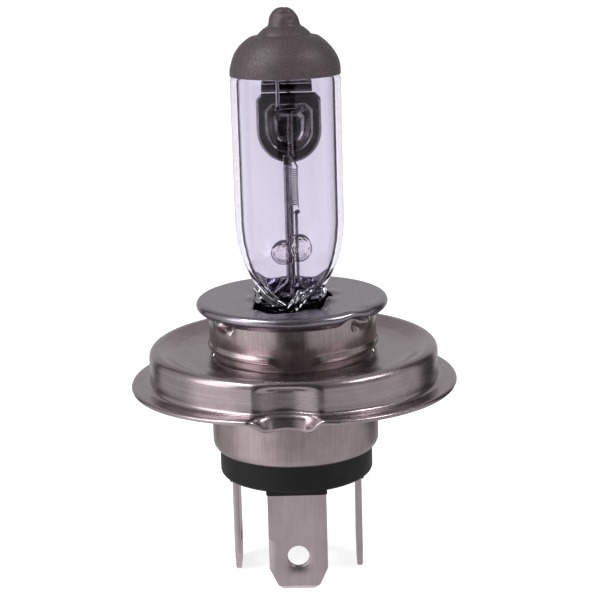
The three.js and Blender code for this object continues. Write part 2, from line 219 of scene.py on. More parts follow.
def evenly(path: Sequence[Sequence[float]] | Array, step: float, ease: float = 0.0) -> Array:
    """A path with its points spread evenly along its length, and its corners eased.

    Each point is moved to the mean of its neighbours within half the easing length.

    Args:
        path: the corner points, in two or three dimensions.
        step: spacing of the new points.
        ease: length over which corners are rounded.

    Returns:
        The new points, with the same two ends.
    """
    p = np.asarray(path, float)
    length = np.concatenate([[0], np.cumsum(np.linalg.norm(np.diff(p, axis=0), axis=1))])
    count = max(3, int(round(length[-1] / step)) + 1)
    at = np.linspace(0, length[-1], count)
    even = np.stack([np.interp(at, length, column) for column in p.T], -1)
    span = int(round(ease / step / 2))
    if span < 1:
        return even
    ahead = even[-1] + (even[-1] - even[-2]) * np.arange(1, span + 1)[:, None]
    behind = even[0] + (even[0] - even[1]) * np.arange(span, 0, -1)[:, None]
    padded = np.vstack([behind, even, ahead])
    window = np.ones(2 * span + 1) / (2 * span + 1)
    return np.stack([np.convolve(column, window, "valid") for column in padded.T], -1)


def revolve(profile: Array, steps: int) -> tuple[Array, Array]:
    """A profile carried round the axis.

    Args:
        profile: (m, 2) radii and heights.
        steps: number of spans in the full turn.

    Returns:
        The angles in degrees, (steps, 1), and radius and height at each, (steps, m, 2).
    """
    angle = np.linspace(-180, 180, steps, endpoint=False)[:, None]
    return angle, np.broadcast_to(profile, (steps, *profile.shape)).copy()


def place(angle: Array, radius: Array, height: Array) -> Array:
    """Points from an angle from the front in degrees, a radius and a height."""
    a = np.radians(angle)
    return np.stack(np.broadcast_arrays(radius * np.sin(a), -radius * np.cos(a), height), -1)


def normals(points: Array, around: bool) -> Array:
    """Unit normals of a grid, from the cross product of its two central differences.

    Args:
        points: an (n, m, 3) grid.
        around: whether the first index closes on itself.

    Returns:
        The normals, one for each point.
    """
    if around:
        first = np.roll(points, -1, 0) - np.roll(points, 1, 0)
    else:
        first = np.gradient(points, axis=0)
    n = np.cross(first, np.gradient(points, axis=1))
    return n / np.maximum(np.linalg.norm(n, axis=-1, keepdims=True), 1e-12)


def sheet(middle: Array, thickness: float, around: bool = True, rim_steps: int = 4) -> Patch:
    """A sheet of even thickness about its middle surface, with half-round rims.

    A point is the middle plus half the thickness times (normal cos a + edge direction sin a):
    a is 0 on one face and a half turn on the other, and runs between them round each rim.

    Args:
        middle: an (n, m, 3) grid; its rims are the two ends of the second index.
        thickness: thickness of the sheet.
        around: whether the first index closes on itself; otherwise its ends are walled off.
        rim_steps: spans round each rim.

    Returns:
        A closed surface with its faces pointing out.
    """
    half = thickness / 2
    n = normals(middle, around)
    a = np.linspace(0, math.pi, rim_steps + 1)[1:-1, None]

    def rim(edge: int, inner: int, sign: int) -> Array:
        """Rings of the half round past one edge.

        Args:
            edge: index of the edge's column.
            inner: index of the column before it.
            sign: 1 where the rim starts on the face that the normals point from, or -1.

        Returns:
            The points between the two faces.
        """
        outwards = middle[:, edge] - middle[:, inner]
        outwards = outwards / np.linalg.norm(outwards, axis=-1, keepdims=True)
        across = sign * np.cos(a) * n[:, None, edge] + np.sin(a) * outwards[:, None]
        return middle[:, None, edge] + half * across

    top, under = middle + half * n, (middle - half * n)[:, ::-1]
    loop = np.concatenate([top, rim(-1, -2, 1), under, rim(0, 1, -1)], axis=1)
    if not around:
        core = np.concatenate([middle, middle[:, -1:].repeat(rim_steps - 1, 1),
                               middle[:, ::-1], middle[:, :1].repeat(rim_steps - 1, 1)], axis=1)
        loop = np.concatenate([core[:1], loop, core[-1:]], axis=0)
    return grid(loop, around=around, along=True).outward()


def tube(path: Array, radius: Array | float, sides: int, reference: Sequence[float]) -> Patch:
    """A wire of round section with domed ends.

    The section's two axes are the cross product of the tangent with a fixed direction, and of
    the tangent with that; the radius closes over each end as a quarter circle.

    Args:
        path: (n, 3) points of its centre line.
        radius: its radius, the same all along or one for each point.
        sides: corners of the section.
        reference: a direction that the wire never runs along.

    Returns:
        A closed surface with its faces pointing out.
    """
    r = np.broadcast_to(np.asarray(radius, float), len(path)).copy()
    tangent = np.gradient(path, axis=0)
    tangent /= np.linalg.norm(tangent, axis=1, keepdims=True)
    quarter = np.radians(np.linspace(90, 0, 4, endpoint=False))[:, None]
    start = path[0] - tangent[0] * r[0] * 0.6 * np.sin(quarter)
    end = path[-1] + tangent[-1] * r[-1] * 0.6 * np.sin(quarter[::-1])
    line = np.vstack([start, path, end])
    along = np.vstack([tangent[:1].repeat(4, 0), tangent, tangent[-1:].repeat(4, 0)])
    size = np.concatenate([r[0] * np.cos(quarter[:, 0]), r, r[-1] * np.cos(quarter[::-1, 0])])
    side = np.cross(along, np.asarray(reference, float))
    side /= np.linalg.norm(side, axis=1, keepdims=True)
    other = np.cross(along, side)
    a = np.linspace(0, 2 * math.pi, sides, endpoint=False)[:, None, None]
    ring = line + size[:, None] * (np.cos(a) * side + np.sin(a) * other)
    return grid(ring, around=True).outward()


def lump(size: Sequence[float], centre: Sequence[float], power: float = 0.3,
         steps: int = 24) -> Patch:
    """A block with rounded edges: a superellipsoid.

    Each coordinate is half the size times the cosines and sines of a latitude and a longitude,
    raised to a power and keeping their signs: power 1 is an ellipsoid and 0 a sharp block.

    Args:
        size: width, depth and height.
        centre: its middle.
        power: the exponent.
        steps: spans from pole to pole, and half as many as go round.

    Returns:
        A closed surface with its faces pointing out.
    """

    def lift(value: Array) -> Array:
        """The signed power of a sine or cosine."""
        return np.sign(value) * np.abs(value) ** power

    u = np.linspace(-math.pi, math.pi, 2 * steps, endpoint=False)[:, None]
    v = np.linspace(-math.pi / 2, math.pi / 2, steps + 1)[None, :]
    unit = np.stack(np.broadcast_arrays(lift(np.cos(u)) * lift(np.cos(v)),
                                        lift(np.sin(u)) * lift(np.cos(v)), lift(np.sin(v))), -1)
    return grid(unit * np.asarray(size) / 2 + np.asarray(centre), around=True).outward()


def reach(outline: Array, centre: Sequence[float], angle: Array) -> Array:
    """Distance from a centre to a convex outline in each direction.

    For each side it is the side's distance over the cosine of the angle to its normal, and the
    shortest positive one counts.

    Args:
        outline: (k, 2) corners, anticlockwise.
        centre: a point inside.
        angle: directions in radians from the first axis.

    Returns:
        The distances.
    """
    start = outline - np.asarray(centre, float)
    run = np.roll(start, -1, 0) - start
    normal = np.stack([run[:, 1], -run[:, 0]], -1)
    normal /= np.linalg.norm(normal, axis=1, keepdims=True)
    away = np.sum(start * normal, axis=1)
    facing = np.cos(angle)[..., None] * normal[:, 0] + np.sin(angle)[..., None] * normal[:, 1]
    return np.min(np.where(facing > 1e-6, away / np.maximum(facing, 1e-6), np.inf), axis=-1)


def wrinkle(x: Array, y: Array, seed: int, scale: float, folds: int = 7) -> Array:
    """Crumpled relief between about -1 and 1.

    It is a sum of folded waves, each 2|sin| - 1 along its own direction, of falling height.

    Args:
        x: first surface coordinate.
        y: second surface coordinate.
        seed: starts the directions, so that each run gives the same relief.
        scale: length of the widest wave.
        folds: number of waves.

    Returns:
        The relief at each point.
    """
    random = np.random.default_rng(seed)
    total = np.zeros(np.broadcast(x, y).shape)
    for order in range(folds):
        turn, phase = random.uniform(0, math.pi), random.uniform(0, math.pi)
        along = (x * math.cos(turn) + y * math.sin(turn)) * math.pi * 1.45**order / scale + phase
        total += (2 * np.abs(np.sin(along)) - 1) * 0.72**order
    return total / 2.2


# ---------------------------------------------------------------------------------------------
# Shader building
# ---------------------------------------------------------------------------------------------


class Value:
    """A number socket of a shader that takes part in Python arithmetic."""

    def __init__(self, shader: "Shader", socket: bpy.types.NodeSocket) -> None:
        """Keeps the shader and the socket."""
        self.shader, self.socket = shader, socket

    def math(self, operation: str, *others: "Value | float") -> "Value":
        """The result of one Math node on this value and up to two others."""
        return self.shader.math(operation, self, *others)

    def __add__(self, other: "Value | float") -> "Value":
        """Sum."""
        return self.math("ADD", other)

    __radd__ = __add__

    def __sub__(self, other: "Value | float") -> "Value":
        """Difference."""
        return self.math("SUBTRACT", other)

    def __rsub__(self, other: float) -> "Value":
        """Difference from a number."""
        return self.shader.math("SUBTRACT", other, self)

    def __mul__(self, other: "Value | float") -> "Value":
        """Product."""
        return self.math("MULTIPLY", other)

    __rmul__ = __mul__

    def __pow__(self, other: float) -> "Value":
        """Power."""
        return self.math("POWER", other)

    def window(self, low: float, high: float) -> "Value":
        """The value's place between two limits, held within 0 and 1.

        Args:
            low: value that gives 0.
            high: value that gives 1.

        Returns:
            The eased share of the way between them.
        """
        node = self.shader.node("ShaderNodeMapRange", {"interpolation_type": "SMOOTHSTEP"},
                                {"Value": self, "From Min": low, "From Max": high})
        return Value(self.shader, node.outputs["Result"])


class Shader:
    """The node tree of a material or a world while it is being built."""

    def __init__(self, name: str, world: bool = False) -> None:
        """Starts a material with one Principled shader, or a world with one Background.

        Args:
            name: the material's or world's name.
            world: whether it is a world.
        """
        self.made = (bpy.data.worlds if world else bpy.data.materials).new(name)
        self.made.use_nodes = True
        self.tree = self.made.node_tree
        self.surface = self.tree.nodes["Background" if world else "Principled BSDF"]

    def done(self, inputs: dict[str, Any]) -> Any:
        """Fills the inputs of the surface.

        Args:
            inputs: numbers, colours or sockets, by the input's name.

        Returns:
            The material or the world.
        """
        for name, value in inputs.items():
            self.join(self.surface.inputs[name], value)
        return self.made

    def node(self, kind: str, settings: dict[str, Any], inputs: dict[Any, Any]) -> bpy.types.Node:
        """Adds a node.

        Args:
            kind: the node's type.
            settings: its properties, which are set first; stops is a ramp's list of
                (position, colour).
            inputs: numbers, colours or sockets for its inputs, by name or index.

        Returns:
            The node.
        """
        node = self.tree.nodes.new(kind)
        for key, value in settings.items():
            if key == "stops":
                self._stops(node.color_ramp, value)
            else:
                setattr(node, key, value)
        for key, value in inputs.items():
            self.join(node.inputs[key], value)
        return node

    @staticmethod
    def _stops(ramp: bpy.types.ColorRamp, stops: Sequence[tuple[float, Colour]]) -> None:
        """Sets a ramp's stops.

        Args:
            ramp: the ramp.
            stops: positions and colours.
        """
        for _ in stops[2:]:
            ramp.elements.new(0.5)
        for element, (position, colour) in zip(ramp.elements, stops):
            element.position = position
            element.color = (*colour, 1)

    def join(self, target: bpy.types.NodeSocket, value: Any) -> None:
        """Links a socket to an input, or sets the input to a number or colour.

        Args:
            target: the input.
            value: a value, a socket, a number or a colour.
        """
        if isinstance(value, Value):
            self.tree.links.new(value.socket, target)
        elif isinstance(value, bpy.types.NodeSocket):
            self.tree.links.new(value, target)
        elif isinstance(value, tuple) and target.type == "RGBA":
            target.default_value = (*value[:3], 1)
        else:
            target.default_value = value

    def math(self, operation: str, *values: Value | float) -> Value:
        """The result of one Math node."""
        node = self.node("ShaderNodeMath", {"operation": operation}, dict(enumerate(values)))
        return Value(self, node.outputs[0])

    def position(self) -> tuple[Value, Value, Value]:
        """The three object coordinates in millimetres, height above the blade tips.

        Returns:
            The coordinates, one value each.
        """
        place_node = self.node("ShaderNodeTexCoord", {}, {})
        scaled = self.node("ShaderNodeVectorMath", {"operation": "SCALE"},
                           {0: place_node.outputs["Object"], "Scale": 1 / MM})
        split = self.node("ShaderNodeSeparateXYZ", {}, {0: scaled.outputs[0]})
        x, y, z = (Value(self, socket) for socket in split.outputs)
        return x, y, z

    def noise(self, x: Value | float, y: Value | float, z: Value | float,
              detail: float = 2.0, roughness: float = 0.55) -> Value:
        """Noise of one wave for each unit of its coordinates, from about 0.2 to 0.8.

        Args:
            x: first coordinate.
            y: second coordinate.
            z: third coordinate.
            detail: number of finer layers.
            roughness: strength of the finer layers.

        Returns:
            The noise.
        """
        at = self.node("ShaderNodeCombineXYZ", {}, {0: x, 1: y, 2: z})
        node = self.node("ShaderNodeTexNoise", {},
                         {"Vector": at.outputs[0], "Scale": 1.0, "Detail": detail,
                          "Roughness": roughness})
        return Value(self, node.outputs["Fac"])

    def cells(self, x: Value | float, y: Value | float, z: Value | float) -> Value:
        """Distance to the nearest of one random point for each unit cell.

        Args:
            x: first coordinate.
            y: second coordinate.
            z: third coordinate.

        Returns:
            The distance.
        """
        at = self.node("ShaderNodeCombineXYZ", {}, {0: x, 1: y, 2: z})
        node = self.node("ShaderNodeTexVoronoi", {}, {"Vector": at.outputs[0], "Scale": 1.0})
        return Value(self, node.outputs["Distance"])

    def blend(self, factor: Value | float, first: Any, second: Any) -> bpy.types.NodeSocket:
        """A colour between two colours.

        Args:
            factor: 0 for the first and 1 for the second.
            first: a colour or a socket.
            second: a colour or a socket.

        Returns:
            The mixed colour.
        """
        node = self.node("ShaderNodeMix", {"data_type": "RGBA"},
                         {"Factor": factor, 6: first, 7: second})
        return node.outputs[2]

    def relief(self, height: Value, depth: float) -> bpy.types.NodeSocket:
        """A bumped normal, from a height of 0 to 1 that stands for a depth in millimetres.

        Args:
            height: the relief.
            depth: what a height of 1 stands for.

        Returns:
            The normal.
        """
        node = self.node("ShaderNodeBump", {}, {"Height": height, "Distance": depth * MM,
                                                "Strength": 1.0})
        return node.outputs["Normal"]


def linear(code: str) -> Colour:
    """The linear colour of a six-digit sRGB code.

    Args:
        code: the code, without a hash.

    Returns:
        Its red, green and blue.
    """
    parts = [int(code[i:i + 2], 16) / 255 for i in (0, 2, 4)]
    r, g, b = (c / 12.92 if c <= 0.04045 else ((c + 0.055) / 1.055) ** 2.4 for c in parts)
    return r, g, b


class Lay(Enum):
    """The direction in which a metal surface was worked."""

    UPRIGHT = "drawn along the axis"
    ROUND = "turned about the axis"
    PLAIN = "no direction"


@dataclass(frozen=True)
class MetalFinish:
    """Bare or plated metal: two tones, working marks, stains and a fine grain."""

    name: str
    light: Colour
    dark: Colour
    roughness: float
    spread: float = 0.12
    lay: Lay = Lay.PLAIN
    mark_depth: float = 0.004
    grain_depth: float = 0.002
    stain: float = 0.5
    marks_each_mm: float = 5.0

    def _marks(self, s: Shader, x: Value, y: Value, z: Value) -> Value:
        """Noise drawn out along the direction of working.

        Args:
            s: the shader.
            x: first coordinate.
            y: second coordinate.
            z: third coordinate.

        Returns:
            The marks.
        """
        f = self.marks_each_mm
        if self.lay is Lay.UPRIGHT:
            return s.noise(x * f, y * f, z * (f / 14), detail=3)
        if self.lay is Lay.ROUND:
            radius = (x * x + y * y) ** 0.5
            return s.noise(radius * f, z * f, x * 0.1, detail=3)
        return s.noise(x * f, y * f, z * f, detail=3)

    def dress(self) -> bpy.types.Material:
        """Builds the material.

        Returns:
            Metal whose tone, roughness and relief follow its marks, stains and grain.
        """
        s = Shader(self.name)
        x, y, z = s.position()
        marks = self._marks(s, x, y, z)
        cloud = s.noise(x * 0.35, y * 0.35, z * 0.35, detail=4, roughness=0.6)
        grain = s.noise(x * 14, y * 14, z * 14, detail=1)
        pits = s.cells(x * 2.2, y * 2.2, z * 2.2)
        tone = cloud.window(0.3, 0.7) * self.stain + marks.window(0.3, 0.7) * (1 - self.stain)
        rough = (marks - 0.5) * self.spread + (cloud - 0.5) * self.spread + self.roughness
        depth = self.mark_depth + 2 * self.grain_depth
        height = marks * (self.mark_depth / depth)
        height = height + grain * (self.grain_depth / depth)
        height = height + pits.window(0.0, 0.12) * (self.grain_depth / depth)
        return s.done({"Base Color": s.blend(tone, self.dark, self.light), "Roughness": rough,
                       "Normal": s.relief(height, depth), "Metallic": 1.0})


@dataclass(frozen=True)
class QuartzFinish:
    """Fused quartz with a tint and the slight waves of drawn tube; on the envelope the tint is painted
    light, the lavender of the lit backdrop seen through clear quartz.
    """

    name: str
    tint: Colour
    deep: Colour
    wave_depth: float
    index: float = 1.46
    sheen: Colour = (0.35, 0.35, 0.37)

    def dress(self) -> bpy.types.Material:
        """Builds the material.

        Returns:
            Clear glass with a tint and slight waves.
        """
        s = Shader(self.name)
        x, y, z = s.position()
        draw = s.noise(x * 0.5, y * 0.5, z * 0.03, detail=1)
        return s.done({"Base Color": s.blend(draw.window(0.3, 0.7), self.tint, self.deep),
                       "Normal": s.relief(draw, self.wave_depth), "Roughness": 0.0,
                       "IOR": self.index, "Specular Tint": self.sheen, "Transmission Weight": 1.0})


@dataclass(frozen=True)
class CoatFinish:
    """Baked heat-proof coat: matte, mottled and grainy."""

    name: str
    warm: Colour
    cool: Colour
    dark: Colour
    grain_each_mm: float = 4.5
    grain_depth: float = 0.03

    def dress(self) -> bpy.types.Material:
        """Builds the material.

        Returns:
            A matte coat in three tones with a grainy relief.
        """
        s = Shader(self.name)
        x, y, z = s.position()
        f = self.grain_each_mm
        cloud = s.noise(x * 0.22, y * 0.22, z * 0.22, detail=3)
        grain = s.noise(x * f, y * f, z * f, detail=3, roughness=0.7)
        specks = s.cells(x * f * 0.9, y * f * 0.9, z * f * 0.9)
        colour = s.blend(cloud.window(0.42, 0.62), self.warm, self.cool)
        colour = s.blend(grain.window(0.35, 0.75) * 0.55, self.dark, colour)
        height = grain * 0.7 + specks.window(0.1, 0.5) * 0.3
        return s.done({"Base Color": colour, "Roughness": grain.window(0.3, 0.7) * -0.16 + 0.58,
                       "Normal": s.relief(height, self.grain_depth), "Metallic": 0.35})


@dataclass(frozen=True)
class MouldedFinish:
    """Moulded heat-proof plastic with a satin skin."""

    name: str
    colour: Colour
    dust: Colour

    def dress(self) -> bpy.types.Material:
        """Builds the material.

        Returns:
            A dark plastic with a little dust and grain.
        """
        s = Shader(self.name)
        x, y, z = s.position()
        cloud = s.noise(x * 0.6, y * 0.6, z * 0.6, detail=4)
        grain = s.noise(x * 8, y * 8, z * 8, detail=2)
        colour = s.blend(cloud.window(0.5, 0.8) * 0.5, self.colour, self.dust)
        return s.done({"Base Color": colour, "Roughness": cloud * 0.2 + 0.36,
                       "Specular IOR Level": 0.18, "Normal": s.relief(grain, 0.006)})


@dataclass(frozen=True)
class FloorFinish:
    """Studio paper or cloth, which may glow a little so that the floor stays even."""

    name: str
    colour: Colour
    shade: Colour
    glow: float = 0.0

    def dress(self) -> bpy.types.Material:
        """Builds the material.

        Returns:
            A soft matte surface in two near tones.
        """
        s = Shader(self.name)
        x, y, z = s.position()
        cloud = s.noise(x * 0.02, y * 0.02, z * 0.02, detail=2)
        return s.done({"Base Color": s.blend(cloud, self.colour, self.shade), "Roughness": 0.8,
                       "Emission Color": (1.0, 1.0, 1.0), "Emission Strength": self.glow})


@dataclass(frozen=True)
class TentFinish:
    """Lit cloth whose glow changes with height."""

    name: str
    low: float
    high: float
    start: float
    end: float

    def dress(self) -> bpy.types.Material:
        """Builds the material.

        Returns:
            A black surface that glows.
        """
        s = Shader(self.name)
        _, _, z = s.position()
        glow = s.blend(z.window(self.start, self.end), (self.low,) * 3, (self.high,) * 3)
        return s.done({"Emission Color": glow, "Base Color": (0.0, 0.0, 0.0),
                       "Emission Strength": 1.0})


Finish = MetalFinish | QuartzFinish | CoatFinish | MouldedFinish | FloorFinish | TentFinish

FLANGE_STEEL = MetalFinish("flange_steel", (0.42, 0.352, 0.374), (0.31, 0.255, 0.272), 0.26,
                           lay=Lay.ROUND, marks_each_mm=4, mark_depth=0.0015, grain_depth=0.001)
SHELL_STEEL = MetalFinish("shell_steel", (0.42, 0.345, 0.362), (0.3, 0.243, 0.254), 0.32,
                          lay=Lay.UPRIGHT, marks_each_mm=3, mark_depth=0.002)
SLEEVE_STEEL = MetalFinish("sleeve_steel", (0.42, 0.35, 0.36), (0.29, 0.236, 0.238), 0.24,
                           lay=Lay.UPRIGHT, marks_each_mm=4, mark_depth=0.002)
DISC_STEEL = MetalFinish("disc_steel", (0.33, 0.3, 0.338), (0.262, 0.233, 0.268), 0.26,
                         lay=Lay.ROUND, marks_each_mm=3, mark_depth=0.0015, grain_depth=0.001)
SPRING_STEEL = MetalFinish("spring_steel", (0.6, 0.59, 0.64), (0.22, 0.21, 0.25), 0.17,
                           mark_depth=0.008, grain_depth=0.002, marks_each_mm=2)
BLADE_PLATE = MetalFinish("blade_plate", (0.48, 0.405, 0.427), (0.39, 0.325, 0.347), 0.34,
                          lay=Lay.UPRIGHT, marks_each_mm=3, mark_depth=0.0015)
SHIELD_METAL = MetalFinish("shield_metal", (0.46, 0.43, 0.43), (0.24, 0.22, 0.225), 0.07,
                           mark_depth=0.002, grain_depth=0.0, marks_each_mm=0.8)
WIRE_METAL = MetalFinish("wire_metal", (0.5, 0.46, 0.51), (0.32, 0.29, 0.33), 0.26,
                         lay=Lay.UPRIGHT, marks_each_mm=6)
BRIGHT_METAL = MetalFinish("bright_metal", (0.5, 0.47, 0.5), (0.25, 0.23, 0.26), 0.14)
BEDDING_FOIL = MetalFinish("bedding_foil", (0.93, 0.9, 0.94), (0.66, 0.63, 0.68), 0.24,
                           mark_depth=0.006, marks_each_mm=2)
TUNGSTEN = MetalFinish("tungsten", (0.55, 0.52, 0.52), (0.3, 0.28, 0.28), 0.12, marks_each_mm=8)
FOIL_METAL = MetalFinish("foil_metal", (0.4, 0.38, 0.42), (0.24, 0.22, 0.26), 0.25)
# Painted light: the envelope's quartz is clear, and this lavender tint stands in for the lavender-lit
# backdrop seen through it.
BACKDROP_TINTED_QUARTZ = QuartzFinish("quartz", (0.728, 0.708, 0.782), (0.698, 0.677, 0.752), 0.0012)
BRIDGE_QUARTZ = QuartzFinish("bridge_quartz", (0.99, 0.94, 0.95), (0.95, 0.88, 0.9), 0.05, 1.33)
COAT = CoatFinish("anti_glare_coat", linear("6a5d61"), linear("60605c"), linear("463c40"))
BLACK_PLASTIC = MouldedFinish("insulator_black", (0.008, 0.007, 0.008), (0.016, 0.015, 0.017))
PAPER = FloorFinish("studio_paper", (0.72, 0.72, 0.725), (0.7, 0.7, 0.705), 0.68)
TENT_BACK = TentFinish("tent_back", 0.54, 0.4, 500, 1000)
TENT_LEFT = TentFinish("tent_left", 0.95, 0.3, 20, 300)
TENT_FRONT = TentFinish("tent_front", 0.7, 0.16, 20, 180)
TENT_RIGHT = TentFinish("tent_right", 0.62, 0.2, 20, 300)
FLAG_CLOTH = FloorFinish("flag_cloth", (0.02, 0.02, 0.021), (0.012, 0.012, 0.0125))


@dataclass
class Bench:
    """Turns surfaces into pieces of the bulb, one material for each finish."""

    materials: dict[str, bpy.types.Material] = field(default_factory=dict)

    def material(self, finish: Finish) -> bpy.types.Material:
        """The material of a finish, built when it is first asked for.

        Args:
            finish: the finish.

        Returns:
            The material.
        """
        if finish.name not in self.materials:
            self.materials[finish.name] = finish.dress()
        return self.materials[finish.name]

    def mesh(self, name: str, patch: Patch, finish: Finish,
             crease: float = 40.0) -> bpy.types.Object:
        """Makes an object from a surface.

        Args:
            name: the object's name.
            patch: its surface, heights from the flange plane.
            finish: what it is made of.
            crease: angle in degrees above which an edge is shaded sharp.

        Returns:
            The object, at the origin, with its place in its mesh.
        """
        data = bpy.data.meshes.new(name)
        metres = (patch.points + (0, 0, FLANGE_Z)) * MM
        data.from_pydata(metres.tolist(), [], patch.faces.tolist())
        work = bmesh.new()
        work.from_mesh(data)
        bmesh.ops.remove_doubles(work, verts=work.verts, dist=2e-7)
        work.to_mesh(data)
        work.free()
        data.shade_smooth()
        data.set_sharp_from_angle(angle=math.radians(crease))
        data.materials.append(self.material(finish))
        made = bpy.data.objects.new(name, data)
        bpy.context.scene.collection.objects.link(made)
        return made

    def piece(self, name: str, patch: Patch, finish: Finish, slot: str, *nodes: str,
              crease: float = 40.0) -> bpy.types.Object:
        """Makes a piece of the bulb and puts it on the frame.

        Args:
            name: the piece's name.
            patch: its surface.
            finish: what it is made of.
            slot: the record's material slot; not used.
            nodes: the CAD nodes that it stands for, if any.
            crease: angle above which an edge is shaded sharp.

        Returns:
            The object.
        """
        made = self.mesh(name, patch, finish, crease)
        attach(made, "root")
        if nodes:
            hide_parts(*nodes)
        LOG.info("%s: %d faces, stands for %s", name, len(made.data.polygons),
                 ", ".join(nodes) or "no CAD node")
        return made

    def cloth(self, name: str, patch: Patch, finish: Finish) -> bpy.types.Object:
        """Hangs a cloth of the studio that only reflections and the glass show.

        Args:
            name: the cloth's name.
            patch: its surface.
            finish: what it is made of.

        Returns:
            The object.
        """
        made = self.mesh(name, patch, finish)
        made.visible_camera = made.visible_diffuse = made.visible_shadow = False
        return made

    def dress_node(self, node: str, finish: Finish) -> None:
        """Gives a CAD node that stays in view its finish.

        Args:
            node: the node's name.
            finish: its finish.
        """
        kept = frame["nodes"][node]
        kept.data.materials.clear()
        kept.data.materials.append(self.material(finish))
        LOG.info("%s: kept, dressed in %s", node, finish.name)


# ---------------------------------------------------------------------------------------------
# The flange and the base
# ---------------------------------------------------------------------------------------------


@dataclass
class Flange:
    """The lip, the crown's outer wall and its dished plate, pressed from one sheet."""

    box: Extent = field(default_factory=lambda: Extent.of("flange_ring"))
    thickness: float = 0.7
    crown_radius: float = 19.9
    rim_radius: float = 1.1
    fillet_radius: float = 0.95
    plate_top: float = 4.0
    hole_radius: float = 11.15
    dent_middle: float = -2.2
    dent_angle: float = 13.2
    dent_depth: float = 1.3
    tongue_angle: float = 12.5
    fold_angle: float = 80.0
    fold_length: float = 0.5
    fold_inset: float = 0.45
    lift: float = 0.6
    trim_angle: float = 45.0

    def profile(self) -> Array:
        """Middle of the sheet from the hole to the lip: plate, rim arc, wall, fillet and lip.

        Returns:
            (m, 2) radii and heights.
        """
        half = self.thickness / 2
        plate, rim = self.plate_top - half, self.rim_radius - half
        rim_x, rim_z = self.crown_radius - self.rim_radius, self.box.top - self.rim_radius
        foot = self.fillet_radius
        points = np.vstack([
            [[self.hole_radius + half, plate], [14.6, plate], [16.6, plate + 0.3]],
            arc(rim_x, rim_z, rim, 112, 0, 14),
            arc(self.crown_radius - half + foot, foot, foot, 180, 270, 14),
            [[self.box.radius - half, 0]],
        ])
        return evenly(points, 0.2, ease=0.5)

    def pressed(self) -> Array:
        """The middle surface with its dent and its tongue.

        Within the dent's angle the radius shrinks by the depth times (1 - share^2), from just
        under the rim down. Past the fillet the lip of the tongue bends down round an arc and
        runs straight on, longest at the tongue's corners. The lip beside it rises a little, and
        is trimmed where it would pass the front plane of the node's box.

        Returns:
            A grid of points, closed about the axis.
        """
        angle, rz = revolve(self.profile(), 480)
        flat_r, flat_z = rz[..., 0], rz[..., 1]
        half, aside = self.thickness / 2, np.abs(angle - self.dent_middle)
        share = np.minimum(aside / self.dent_angle, 1)
        turned = 1 - smooth(aside / self.tongue_angle, 0.5, 1.05)
        fold = np.radians(self.fold_angle) * turned + 1e-3
        start = self.crown_radius - half + self.fillet_radius - self.fold_inset * turned
        corner = np.minimum(aside / self.tongue_angle, 1) ** 2
        run = np.maximum(flat_r - start, 0) * (1 + (0.35 * corner - 0.26) * turned)
        limit = -(self.box.low[1] + half) / np.cos(np.radians(angle))
        kept = np.clip((limit - start) / (self.box.radius - half - start), 0, 1)
        trimmed = run * (1 - (1 - kept) * (1 - turned))
        run = np.where(np.abs(angle) < self.trim_angle, trimmed, run)
        bend = self.fold_length / fold
        theta = fold * np.minimum(run / self.fold_length, 1)
        beyond = np.maximum(run - self.fold_length, 0)
        lip = flat_r > start
        r = np.where(lip, start + bend * np.sin(theta) + beyond * np.cos(fold), flat_r)
        z = np.where(lip, flat_z - bend * (1 - np.cos(theta)) - beyond * np.sin(fold), flat_z)
        outer = smooth(flat_r, 17.0, 18.6)
        z = z + self.lift * bump(angle, -8, 42) * (1 - smooth(flat_z, 0.6, 4.6)) * outer
        r = r - self.dent_depth * (1 - share**2) ** 1.4 * (1 - smooth(flat_z, 3.9, 5.0)) * outer
        return place(angle, r, z)

    def build(self, bench: Bench) -> None:
        """Makes the flange."""
        bench.piece("pressed_flange", sheet(self.pressed(), self.thickness), FLANGE_STEEL,
                    "flange_steel", "flange_ring", crease=60)


